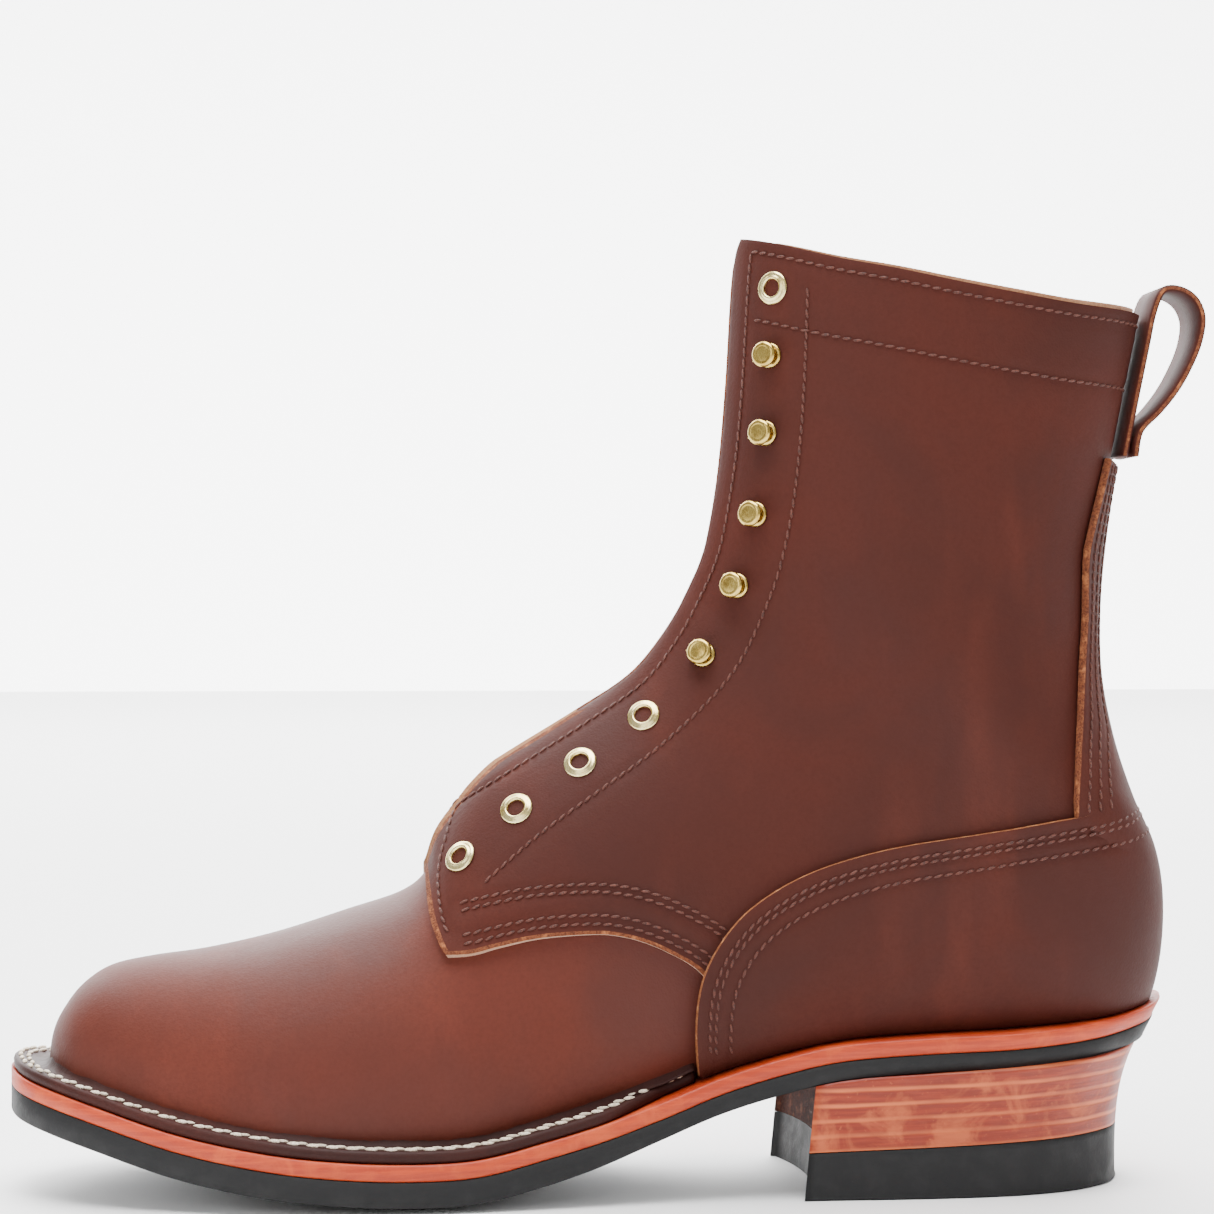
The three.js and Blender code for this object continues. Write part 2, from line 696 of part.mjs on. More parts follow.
function tongue() {
  const outer = lastForm((r) => wallInside(r) - tongueInset(r));
  const inner = lastForm((r) => wallInside(r) - tongueInset(r) - tongueThickness);
  const edge = throatPoints.slice(vampThroatRow - 2);
  const back = edge.map((p, i) => {
    const before = edge[Math.max(i - 1, 0)];
    const after = edge[Math.min(i + 1, edge.length - 1)];
    const run = after.clone().sub(before).normalize();
    return p.clone().addScaledVector(new THREE.Vector2(-run.y, run.x), tongueReach);
  });
  const end = back[back.length - 1];
  const zone = sidePrism([
    new THREE.Vector2(tongueToe, back[0].y),
    ...back,
    new THREE.Vector2(end.x, top),
    new THREE.Vector2(end.x + soleLength, top),
    new THREE.Vector2(tongueToe, spot(throatEdge[0]).y + tongueReach),
  ]);
  const lowered = aboveCollar().translate([0, 0, -tongueDrop]);
  return toGeometry(outer.subtract(inner).intersect(zone).subtract(lowered));
}

// Insole: lies on the midsole, inside the wall
function insole() {
  const room = lastForm((r) => wallInside(r) - gap);
  const slab = below((x, y) => seat(x, y) + gap + insoleThickness);
  return toGeometry(room.intersect(slab).subtract(groundUnderUpper));
}

function towardBack(x) {
  const breast = xAt(breastAlong);
  return clamp((breast - x) / (breast - xAt(0)), 0, 1);
}

function midsole() {
  const lower = insetOutline(outlinePoints, (x) => heelDraft * midsoleDraftShare * towardBack(x));
  return layer(lower, outlinePoints, (x, y) => outsoleTop(x, y) + gap, seat);
}

function outsole() {
  const upperOutline = insetOutline(outlinePoints, (x) => heelDraft * outsoleDraftShare * towardBack(x));
  const lower = insetOutline(outlinePoints, (x) => heelDraft * undersideDraftShare * towardBack(x));
  return layer(lower, upperOutline, (x, y) => Math.max(underside(x, y), 0), outsoleTop);
}

// One level of the heel seen from above, from the sole down (1) to the floor (0)
function heelRing(share, heightAt) {
  const taper = 1 - share ** heelCurve;
  const breast = xAt(breastAlong) - breastLean * share;
  const sideAt = (side) => Array.from({ length: heelSteps + 1 }, (_, i) => {
    const x = THREE.MathUtils.lerp(breast, xAt(0), Math.sin(Math.PI / 2 * i / heelSteps));
    const toBack = (breast - x) / (breast - xAt(0));
    const y = soleHalf(x, side) * (1 - heelNarrowing * taper * toBack);
    return new THREE.Vector2(x + heelDraft * (1 + taper) * toBack, i < heelSteps ? y * side : 0);
  });
  const outer = sideAt(1);
  const inner = sideAt(-1).slice(0, -1).reverse();
  const dish = [0.5, 0, -0.5].map((k) => new THREE.Vector2(breast - breastDish * (1 - k * k), k * outer[0].y));
  return [...outer, ...inner, ...dish.reverse()]
    .map((p) => new THREE.Vector3(p.x, p.y, heightAt(p.x, p.y)));
}

function topLiftTop(x) {
  return topLiftHeight - topLiftPitch * x;
}

function heelStack() {
  const split = topLiftHeight / heelRise;
  const levels = heelShares.map((share) => heelRing(share, (x, y) => {
    const floor = topLiftTop(x) + gap;
    return floor + (underside(x, y) - floor) * (share - split) / (1 - split);
  }));
  const head = levels[levels.length - 1].map((p) => new THREE.Vector3(p.x, p.y, p.z + heelHeadroom));
  const foot = heelRing(split, (x) => topLiftTop(x) + gap);
  const block = toSolid(loft([foot, ...levels, head]));
  return toGeometry(block.intersect(below((x, y) => underside(x, y) - gap)));
}

function topLift() {
  const split = topLiftHeight / heelRise;
  return loft([heelRing(split, topLiftTop), heelRing(0, () => 0)]);
}

// Eyelet: a rolled flange outside, a barrel through the leather and a small roll inside
function eyelet(wall) {
  const inside = -(wall + eyeletEnd);
  const profile = [
    [eyeletHoleRadius, inside],
    [barrelRadius, inside],
    [barrelRadius, gap],
    [eyeletRadius, gap],
    [eyeletRadius - eyeletRoll, gap + eyeletRoll],
    [eyeletHoleRadius, gap + eyeletRoll * 0.5],
  ].map(([radius, height]) => new THREE.Vector2(radius, height));
  const geometry = new THREE.LatheGeometry([...profile, profile[0].clone()], fittingSides);
  geometry.rotateX(Math.PI / 2);
  return toGeometry(toSolid(geometry));
}

// Hook: a bent strip of sheet cut round, open away from the throat
function hook() {
  const low = gap;
  const high = gap + hookHeight;
  const shape = new THREE.Shape([
    [-hookRadius, low], [hookRadius + 1, low], [hookRadius + 1, high], [-hookRadius - 1, high],
    [-hookRadius - 1, high - hookSheet], [hookRadius * hookMouth, high - hookSheet],
    [hookRadius * hookMouth, low + hookSheet], [-hookRadius, low + hookSheet],
  ].map(([x, y]) => new THREE.Vector2(x, y)));
  const bent = new THREE.ExtrudeGeometry(shape, { depth: 4 * hookRadius, bevelEnabled: false });
  bent.rotateX(Math.PI / 2);
  bent.translate(0, 2 * hookRadius, 0);
  const dome = [
    [0, 0], [hookRadius, 0], [hookRadius, high - hookSheet * hookCapEdge], [hookRadius * hookCapTop, high], [0, high],
  ].map(([radius, height]) => new THREE.Vector2(radius, height));
  const round = new THREE.LatheGeometry(dome, fittingSides);
  round.rotateX(Math.PI / 2);
  return toGeometry(toSolid(bent).intersect(toSolid(round)));
}

const finishes = {
  upper: { color: 0x78402f, roughness: 0.6, metalness: 0 },
  tongue: { color: 0x84503c, roughness: 0.75, metalness: 0 },
  insole: { color: 0xc09068, roughness: 0.8, metalness: 0 },
  tan: { color: 0xcd7048, roughness: 0.55, metalness: 0 },
  rubber: { color: 0x2c2c2e, roughness: 0.7, metalness: 0 },
  brass: { color: 0xd8c486, roughness: 0.25, metalness: 1 },
};

const group = new THREE.Group();

function put(name, geometry, finish) {
  const mesh = new THREE.Mesh(geometry, new THREE.MeshStandardMaterial(finishes[finish]));
  mesh.name = name;
  group.add(mesh);
  return mesh;
}

put('vamp', vamp(), 'upper');
put('quarters', quarters(), 'upper');
put('counter', counter(), 'upper');
put('backstay', backstay(), 'upper');
put('pull_loop', pullLoop(), 'upper');
put('tongue', tongue(), 'tongue');
put('insole', insole(), 'insole');
put('midsole', midsole(), 'tan');
put('outsole', outsole(), 'rubber');
put('heel_stack', heelStack(), 'tan');
put('top_lift', topLift(), 'rubber');

const counts = { eyelet: 0, hook: 0 };
fittingSpots.forEach((fitting) => {
  counts[fitting.kind] += 1;
  [['outer', 1], ['inner', -1]].forEach(([sideName, side]) => {
    const wall = leatherThickness - wallInside(sectionThrough(fitting.place.x, fitting.place.y).row);
    const geometry = fitting.kind === 'eyelet' ? eyelet(wall) : hook();
    const mesh = put(`${fitting.kind}_${sideName}_${counts[fitting.kind]}`, geometry, 'brass');
    mesh.applyMatrix4(fittingMatrix(fitting, side));
  });
});

export default group;
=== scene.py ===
# The looks of a lace-up ankle boot for the left foot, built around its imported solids.
# Lengths are in millimetres until a mesh is made. +X runs to the toe, +Y to the outer side, +Z up.
import math

import bmesh
import bpy
import numpy as np
from mathutils import Matrix, Vector, kdtree, noise


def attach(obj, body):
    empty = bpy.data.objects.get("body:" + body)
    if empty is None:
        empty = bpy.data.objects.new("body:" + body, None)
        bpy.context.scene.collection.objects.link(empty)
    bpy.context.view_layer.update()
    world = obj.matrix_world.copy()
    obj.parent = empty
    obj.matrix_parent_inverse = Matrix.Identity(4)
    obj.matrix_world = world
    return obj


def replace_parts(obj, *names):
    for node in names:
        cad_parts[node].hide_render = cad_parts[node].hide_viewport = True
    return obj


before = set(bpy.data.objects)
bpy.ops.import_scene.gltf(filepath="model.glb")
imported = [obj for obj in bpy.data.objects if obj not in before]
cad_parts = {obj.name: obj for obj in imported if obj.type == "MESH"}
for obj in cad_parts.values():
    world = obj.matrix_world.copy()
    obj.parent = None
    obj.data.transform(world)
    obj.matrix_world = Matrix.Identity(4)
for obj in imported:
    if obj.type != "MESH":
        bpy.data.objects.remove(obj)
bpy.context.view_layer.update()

MM = 0.001

# The boot's own sizes, as its solids have them
SOLE_LENGTH = 312.5
SOLE_BEHIND_ORIGIN = 62.5
BALL_WIDTH = 104
OUTSOLE_THICKNESS = 6.8
WAIST_THICKNESS = 5
MIDSOLE_THICKNESS = 4.4
EDGE_LIFT = 2.2
TOP_LIFT_HEIGHT = 13.8
HEEL_RISE = 33.7
TOP_LIFT_PITCH = 0.03
HEEL_DRAFT = 6.3
HEEL_NARROWING = 0.12
HEEL_CURVE = 3.5
LIFT_HEIGHT = 4
BREAST_LEAN = 3
BREAST_DISH = 6
SHAFT_HEIGHT = 203
LEATHER = 2.2
VAMP_LEATHER = 2.4
BACKING = 0.4
FLANGE_THICKNESS = 3.3
FLANGE_SETBACK = 0.6
GAP = 0.3
TONGUE_THICKNESS = 2
TONGUE_REACH = 26
STRAP_WIDTH = 22
STRAP_THICKNESS = 1.8
STRAP_CORNER = 0.5
BREAST_ALONG = 0.331
WAIST_ALONG = 0.42
FOREFOOT_ALONG = 0.56
FLANGE_FULL_ALONG = 0.51
FLANGE_END_ALONG = 0.40

LINING_DEPTH = 20
LINING_PROUD = 1.2
LINING_THICKNESS = 1.1
LINING_ROWS_DOWN = 1.8

# How finely the surfaces are cut
SOLE_STATIONS = 220
SKIN_STEP = 0.05
FINE_STEP = 0.5
FLANGE_STEP = 1.25

# Seams: how far each row runs from its panel's edge, and the stitches in it
STITCH_PITCH = 2.8
STITCH_WIDTH = 0.8
STITCH_SLANT = 12
SEAM_DEPTH = 0.32
SEAM_SPREAD = 1.3
INWARD_OF_THROAT = 3.2
FACING_BAND = 8.2
COLLAR_SEAM = 3.1
COLLAR_BAND = 20.5
QUARTER_SEAMS = (2.6, 4.8, 10.7, 12.6)
COUNTER_SEAMS = (3.4, 5.0, 9.0)
BACKSTAY_SEAMS = ((3.0, 0.28), (6.0, 0.52), (9.0, 0.74))
FLANGE_SEAMS = ((1.9, 0), (4.0, 1))
FLANGE_PITCH = 5.0
FLANGE_STITCH_WIDTH = 1.3
FLANGE_STITCH_SLANT = -8
FLANGE_SEAM_END = 0.36

# Gathers in the vamp beside the flange's stitches
TOE_MIDDLE = 165
TOE_RADIUS = 42
GATHER_HEIGHT = 5.5
GATHER_DEPTH = 0.5
PUCKER_HEIGHT = 0.32

# Where the panels end or hide, in rows of the last and angles about its chord
CREST_ANGLE = 0.21
VAMP_TOP_ROW = 15.4
VAMP_THROAT_ROW = 11.9
VAMP_THROAT_ANGLE = 0.36
QUARTER_HIDDEN_ROW = 15.2
HEEL_BOTTOM_ROW = 14.4
COUNTER_BACK_ROWS = (20.2, 18.9, 18.1, 17, 16, 15, HEEL_BOTTOM_ROW)
RAW_BAND_TOP = 128
EDGE_HOLD = 2.5
INNER_THROAT_SETBACK = 2.2
HIDDEN_DEPTH = 1.1
COUNTER_TUCK = 0.5
STRIP_TUCK = 0.9


def table(columns, rows):
    """A table's columns as arrays, by name."""
    return {name: np.array([row[i] for row in rows]) for i, name in enumerate(columns)}


SOLE_LINE = table(("along", "rise", "lift"), [
    (0.000, 1.193, 0), (0.072, 1.074, 0), (0.149, 1.009, 0), (0.226, 0.982, 0),
    (0.299, 0.929, 0), (0.350, 0.828, 0), (0.402, 0.685, 0), (0.453, 0.484, 0.2),
    (0.504, 0.282, 0.45), (0.552, 0.131, 0.7), (0.603, 0.012, 0.9), (0.648, -0.015, 0.95),
    (0.712, -0.003, 1.05), (0.776, 0.062, 1), (0.850, 0.202, 0.8), (0.926, 0.427, 0.45),
    (1.000, 0.638, 0),
])
SOLE_OUTLINE = table(("along", "across"), [
    (0.000, 0.000), (0.014, 0.144), (0.040, 0.236), (0.078, 0.308), (0.136, 0.351),
    (0.216, 0.361), (0.312, 0.351), (0.392, 0.356), (0.456, 0.375), (0.520, 0.404),
    (0.584, 0.433), (0.648, 0.452), (0.712, 0.455), (0.776, 0.442), (0.840, 0.399),
    (0.904, 0.335), (0.952, 0.254), (0.986, 0.145), (1.000, 0.000), (0.998, -0.120),
    (0.981, -0.235), (0.945, -0.355), (0.888, -0.455), (0.824, -0.529), (0.760, -0.562),
    (0.696, -0.548), (0.632, -0.500), (0.568, -0.423), (0.504, -0.346), (0.440, -0.308),
    (0.376, -0.303), (0.312, -0.322), (0.216, -0.346), (0.136, -0.341), (0.078, -0.303),
    (0.040, -0.231), (0.008, -0.115),
])
LAST = table(
    ("front_along", "front_up", "back_along", "back_up", "centre", "outer", "inner", "widest",
     "front_round", "back_round"),
    [
        (0.9720, -0.002, 0.9720, -0.010, -0.038, 0.004, 0.004, 0.55, 2.2, 3),
        (0.968, 0.024, 0.968, -0.023, -0.038, 0.048, 0.048, 0.55, 2.2, 3),
        (0.965, 0.060, 0.965, -0.026, -0.038, 0.106, 0.106, 0.57, 2.2, 3),
        (0.957, 0.092, 0.957, -0.026, -0.038, 0.168, 0.168, 0.60, 2.2, 3),
        (0.941, 0.132, 0.941, -0.025, -0.038, 0.233, 0.236, 0.62, 2.2, 3),
        (0.917, 0.168, 0.917, -0.025, -0.038, 0.284, 0.294, 0.63, 2.2, 3),
        (0.882, 0.198, 0.882, -0.025, -0.038, 0.333, 0.356, 0.64, 2.2, 3),
        (0.834, 0.229, 0.834, -0.025, -0.038, 0.385, 0.423, 0.65, 2.15, 3),
        (0.776, 0.266, 0.776, -0.029, -0.038, 0.428, 0.466, 0.66, 2.1, 3),
        (0.712, 0.308, 0.712, -0.028, -0.038, 0.442, 0.462, 0.67, 2.05, 3),
        (0.664, 0.336, 0.658, -0.027, -0.029, 0.433, 0.447, 0.67, 2, 3),
        (0.642, 0.368, 0.603, -0.023, -0.024, 0.423, 0.409, 0.67, 2, 3),
        (0.628, 0.423, 0.546, -0.028, -0.019, 0.394, 0.365, 0.66, 2, 3),
        (0.587, 0.491, 0.475, -0.023, -0.014, 0.365, 0.327, 0.64, 2, 3),
        (0.530, 0.525, 0.386, -0.022, -0.010, 0.346, 0.317, 0.62, 2, 3),
        (0.480, 0.551, 0.277, -0.026, -0.005, 0.327, 0.317, 0.60, 2, 3),
        (0.445, 0.589, 0.162, -0.023, 0, 0.317, 0.317, 0.58, 2.05, 3),
        (0.424, 0.629, 0.066, -0.024, 0, 0.317, 0.317, 0.56, 2.1, 2.9),
        (0.417, 0.644, 0.035, -0.006, 0, 0.317, 0.317, 0.55, 2.1, 2.8),
        (0.411, 0.663, 0.020, 0.047, 0, 0.317, 0.317, 0.54, 2.15, 2.6),
        (0.405, 0.684, 0.015, 0.124, 0, 0.322, 0.322, 0.53, 2.2, 2.4),
        (0.400, 0.723, 0.021, 0.195, 0, 0.327, 0.327, 0.52, 2.2, 2.3),
        (0.394, 0.770, 0.040, 0.269, 0, 0.327, 0.327, 0.51, 2.2, 2.2),
        (0.390, 0.820, 0.058, 0.358, 0, 0.322, 0.322, 0.50, 2.2, 2.2),
        (0.387, 0.877, 0.069, 0.454, 0, 0.317, 0.317, 0.50, 2.2, 2.2),
        (0.384, 0.926, 0.069, 0.563, 0, 0.317, 0.317, 0.50, 2.2, 2.2),
        (0.382, 0.974, 0.060, 0.679, 0, 0.317, 0.317, 0.50, 2.2, 2.2),
        (0.380, 1.027, 0.046, 0.788, 0, 0.322, 0.322, 0.50, 2.2, 2.2),
        (0.373, 1.117, 0.022, 0.959, 0, 0.327, 0.327, 0.50, 2.2, 2.2),
    ],
)
LAST_ROW = len(LAST["outer"]) - 1

# Edges of the panels in the side view, as shares of the sole's length and of the shaft's height
THROAT = table(("along", "up"), [
    (0.629, 0.263), (0.634, 0.276), (0.640, 0.309), (0.641, 0.356), (0.638, 0.390),
    (0.633, 0.415), (0.628, 0.437), (0.616, 0.462), (0.568, 0.496), (0.513, 0.525),
    (0.465, 0.550), (0.437, 0.586), (0.417, 0.627), (0.402, 0.671), (0.394, 0.720),
    (0.386, 0.797), (0.380, 0.900), (0.376, 1.004), (0.373, 1.056), (0.369, 1.077),
])
QUARTER_LOWER = table(("along", "up"), [
    (0.629, 0.263), (0.608, 0.264), (0.586, 0.267), (0.552, 0.264), (0.508, 0.249),
    (0.485, 0.234), (0.463, 0.212), (0.440, 0.182), (0.423, 0.155), (0.405, 0.117),
])
COUNTER = table(("along", "up"), [
    (0.032, 0.270), (0.106, 0.272), (0.173, 0.262), (0.248, 0.249), (0.297, 0.237),
    (0.334, 0.227), (0.366, 0.212), (0.390, 0.192), (0.409, 0.162), (0.420, 0.127),
    (0.424, 0.078), (0.422, 0.026),
])
COLLAR = table(("along", "up"), [
    (0.369, 1.077), (0.346, 1.057), (0.299, 1.020), (0.250, 0.998), (0.199, 0.978),
    (0.147, 0.961), (0.092, 0.943), (0.022, 0.922),
])
BACKSTAY = table(("along", "up"), [
    (0.067, 0.742), (0.075, 0.696), (0.084, 0.647), (0.089, 0.610), (0.090, 0.529),
    (0.094, 0.462), (0.098, 0.396), (0.102, 0.331), (0.102, 0.262),
])
FITTINGS = table(("along", "up"), [
    (0.348, 0.999), (0.350, 0.911), (0.354, 0.811), (0.362, 0.708), (0.377, 0.621),
    (0.407, 0.543), (0.459, 0.495), (0.514, 0.464), (0.568, 0.429), (0.614, 0.382),
])
FITTING_KINDS = ("eyelet", "hook", "hook", "hook", "hook", "hook", "eyelet", "eyelet", "eyelet", "eyelet")
LOOP = table(("along", "up"), [
    (0.024, 0.766), (0.008, 0.787), (-0.006, 0.811), (-0.017, 0.839), (-0.027, 0.874),
    (-0.031, 0.906), (-0.028, 0.927), (-0.020, 0.942), (-0.007, 0.950), (0.005, 0.947),
])


def x_at(along):
    return along * SOLE_LENGTH - SOLE_BEHIND_ORIGIN


def along_at(x):
    return (x + SOLE_BEHIND_ORIGIN) / SOLE_LENGTH


def blend(value, low, high):
    """A smooth step from 0 to 1."""
    t = np.clip((value - low) / (high - low), 0, 1)
    return t * t * (3 - 2 * t)


def follow(rows, name, along):
    """A smooth value of one column, read at shares along the sole."""
    xs = rows["along"]
    ys = rows[name]
    slopes = np.empty(len(xs))
    slopes[1:-1] = (ys[2:] - ys[:-2]) / (xs[2:] - xs[:-2])
    slopes[0] = (ys[1] - ys[0]) / (xs[1] - xs[0])
    slopes[-1] = (ys[-1] - ys[-2]) / (xs[-1] - xs[-2])
    at = np.clip(along, xs[0], xs[-1])
    i = np.clip(np.searchsorted(xs, at) - 1, 0, len(xs) - 2)
    span = xs[i + 1] - xs[i]
    t = (at - xs[i]) / span
    ease = t * t * (3 - 2 * t)
    lead = slopes[i] * span * t * (1 - t) ** 2
    trail = slopes[i + 1] * span * t * t * (t - 1)
    return ys[i] + (ys[i + 1] - ys[i]) * ease + lead + trail


def curve_through(points, steps, closed=False):
    """Points on a smooth curve through the given points, with steps to each stretch."""
    points = np.asarray(points, float)
    count = len(points)
    result = []
    for k in range(count if closed else count - 1):
        if closed:
            p = [points[(k + d) % count] for d in (-1, 0, 1, 2)]
        else:
            p = [points[min(max(k + d, 0), count - 1)] for d in (-1, 0, 1, 2)]
        for t in np.arange(steps) / steps:
            result.append(0.5 * (2 * p[1] + (p[2] - p[0]) * t
                                 + (2 * p[0] - 5 * p[1] + 4 * p[2] - p[3]) * t * t
                                 + (3 * p[1] - p[0] - 3 * p[2] + p[3]) * t ** 3))
    if not closed:
        result.append(points[-1])
    return np.array(result)


def lengths_along(points):
    return np.concatenate([[0], np.cumsum(np.linalg.norm(np.diff(points, axis=0), axis=1))])


def unit(vectors):
    return vectors / np.linalg.norm(vectors, axis=1, keepdims=True)


def there_and_back(count):
    """Shares from one free edge to the middle and back, and the side that each is on."""
    half = np.linspace(0, 1, count)
    share = np.concatenate([half, half[-2::-1]])
    side = np.concatenate([np.ones(count), -np.ones(count - 1)])
    return share, side


def even(points, step):
    """The curve's points at one even spacing."""
    lengths = lengths_along(points)
    count = max(int(round(lengths[-1] / step)), 1)
    at = np.linspace(0, lengths[-1], count + 1)
    return np.stack([np.interp(at, lengths, points[:, k]) for k in range(points.shape[1])], axis=1)


OUTLINE = curve_through(
    np.stack([x_at(SOLE_OUTLINE["along"]), SOLE_OUTLINE["across"] * BALL_WIDTH], axis=1), 10, closed=True)


def split_outline(outline):
    """The outline's outer and inner edges, each from the heel to the toe."""
    heel = int(np.argmin(outline[:, 0]))
    turned = np.roll(outline, -heel, axis=0)
    toe = int(np.argmax(turned[:, 0]))
    outer = turned[:toe + 1]
    inner = np.vstack([turned[toe:], turned[:1]])[::-1]
    return outer, inner


def outline_y(edges, x, side):
    outer, inner = edges
    outer_y = np.interp(x, outer[:, 0], outer[:, 1])
    inner_y = np.interp(x, inner[:, 0], inner[:, 1])
    return np.where(side > 0, outer_y, inner_y)


SOLE_EDGES = split_outline(OUTLINE)


def sole_half(x, side):
    return np.maximum(np.abs(outline_y(SOLE_EDGES, x, side)), 1)


def underside(x, y):
    along = along_at(x)
    share = np.clip(np.abs(y) / sole_half(x, y), 0, 1.1)
    lift = EDGE_LIFT * follow(SOLE_LINE, "lift", along) * share ** 2
    return HEEL_RISE * follow(SOLE_LINE, "rise", along) + lift


def outsole_top(x, y):
    full = blend(along_at(x), WAIST_ALONG, FOREFOOT_ALONG)
    return underside(x, y) + WAIST_THICKNESS + (OUTSOLE_THICKNESS - WAIST_THICKNESS) * full


def seat(x, y):
    return outsole_top(x, y) + MIDSOLE_THICKNESS


def spots(rows):
    """Side-view places from their shares."""
    x = x_at(rows["along"])
    return np.stack([x, seat(x, 0 * x) + rows["up"] * SHAFT_HEIGHT], axis=1)


# The last's surface, by row and by angle about each section's chord from the front
def chord_ends(name):
    x = x_at(LAST[name + "_along"])
    return np.stack([x, seat(x, 0 * x) + LAST[name + "_up"] * SHAFT_HEIGHT], axis=1)


SECTION_VALUES = np.column_stack([
    chord_ends("front"), chord_ends("back"), LAST["centre"] * BALL_WIDTH, LAST["outer"] * BALL_WIDTH,
    LAST["inner"] * BALL_WIDTH, LAST["widest"], LAST["front_round"], LAST["back_round"],
])


def section(row):
    """The section's values at any row numbers between the table's rows."""
    row = np.clip(row, 0, LAST_ROW)
    i = np.clip(np.floor(row).astype(int), 0, LAST_ROW - 1)
    t = (row - i)[..., None]
    p0 = SECTION_VALUES[np.maximum(i - 1, 0)]
    p1 = SECTION_VALUES[i]
    p2 = SECTION_VALUES[i + 1]
    p3 = SECTION_VALUES[np.minimum(i + 2, LAST_ROW)]
    return 0.5 * (2 * p1 + (p2 - p0) * t + (2 * p0 - 5 * p1 + 4 * p2 - p3) * t ** 2
                  + (3 * p1 - p0 - 3 * p2 + p3) * t ** 3)


def skin(row, angle):
    """Points on the last."""
    s = section(row)
    front, back = s[..., 0:2], s[..., 2:4]
    centre, outer, inner, widest = s[..., 4], s[..., 5], s[..., 6], s[..., 7]
    forward = np.cos(angle) > 0
    power = np.where(forward, s[..., 8], s[..., 9])
    c = np.abs(np.cos(angle))
    d = np.abs(np.sin(angle))
    radius = (c ** power + d ** power) ** (-1 / power)
    way = widest + np.where(forward, -widest, 1 - widest) * radius * c
    half = np.where(np.sin(angle) >= 0, outer, -inner)
    place = front + (back - front) * way[..., None]
    return np.stack([place[..., 0], centre + half * radius * d, place[..., 1]], axis=-1)


def skin_normals(row, angle):
    along = skin(row + SKIN_STEP, angle) - skin(row - SKIN_STEP, angle)
    around = skin(row, angle + SKIN_STEP) - skin(row, angle - SKIN_STEP)
    normal = np.cross(around, along)
    return normal / np.maximum(np.linalg.norm(normal, axis=-1, keepdims=True), 1e-9)


def place_on_last(points):
    """Row numbers and outer-side angles of side-view places."""
    points = np.atleast_2d(points)
    rows = np.linspace(0, LAST_ROW, LAST_ROW * 24 + 1)
    s = section(rows)
    run = s[:, 2:4] - s[:, 0:2]
    gap_x = points[None, :, 0] - s[:, None, 0]
    gap_z = points[None, :, 1] - s[:, None, 1]
    cross = run[:, None, 0] * gap_z - run[:, None, 1] * gap_x
    ways = (gap_x * run[:, None, 0] + gap_z * run[:, None, 1]) / (run ** 2).sum(axis=1)[:, None]
    changed = cross[:-1] * cross[1:] <= 0
    off_chord = np.maximum(np.abs(ways[:-1] - 0.5) - 0.5, 0) + np.where(changed, 0, 100)
    last = np.argmin(off_chord, axis=0)
    pick = np.arange(len(points))
    a = cross[last, pick]
    b = cross[last + 1, pick]
    row = rows[last] + (rows[1] - rows[0]) * np.clip(a / (a - b + 1e-12), 0, 1)
    found = section(row)
    front = found[:, 0:2]
    run = found[:, 2:4] - front
    way = np.clip(((points - front) * run).sum(axis=1) / (run ** 2).sum(axis=1), 0, 1)
    widest = found[:, 7]
    forward = way < widest
    off = np.where(forward, (widest - way) / widest, (way - widest) / (1 - widest))
    power = np.where(forward, found[:, 8], found[:, 9])
    rise = (1 - np.clip(off, 0, 1) ** power) ** (1 / power)
    return row, np.arctan2(rise, np.where(forward, off, -off))


def on_skin(points, side, offset):
    """Points over side-view places on one side of the boot, with normals."""
    row, angle = place_on_last(points)
    angle = angle if side > 0 else -angle
    normals = skin_normals(row, angle)
    return skin(row, angle) + normals * offset, normals


# Curves along the panels' edges, and rows beside them
def shifted(points, distance):
    """A side-view curve moved to its left by a distance."""
    run = unit(np.gradient(points, axis=0))
    return points + np.stack([-run[:, 1], run[:, 0]], axis=1) * distance


THROAT_CURVE = curve_through(spots(THROAT), 6)
QUARTER_CURVE = curve_through(spots(QUARTER_LOWER), 6)
COUNTER_CURVE = curve_through(spots(COUNTER), 6)
COLLAR_CURVE = curve_through(spots(COLLAR), 6)
BACKSTAY_CURVE = curve_through(spots(BACKSTAY), 6)
FITTING_CURVE = curve_through(spots(FITTINGS), 6)


# Shader sockets and nodes
class Value:
    """A shader socket that adds Math nodes where it stands in an expression."""

    def __init__(self, finish, socket):
        self.finish = finish
        self.socket = socket

    def combine(self, operation, first, second):
        return self.finish.node("ShaderNodeMath", {"operation": operation}, {0: first, 1: second})

    def __add__(self, other):
        return self.combine("ADD", self, other)

    def __mul__(self, other):
        return self.combine("MULTIPLY", self, other)

    __radd__ = __add__
    __rmul__ = __mul__


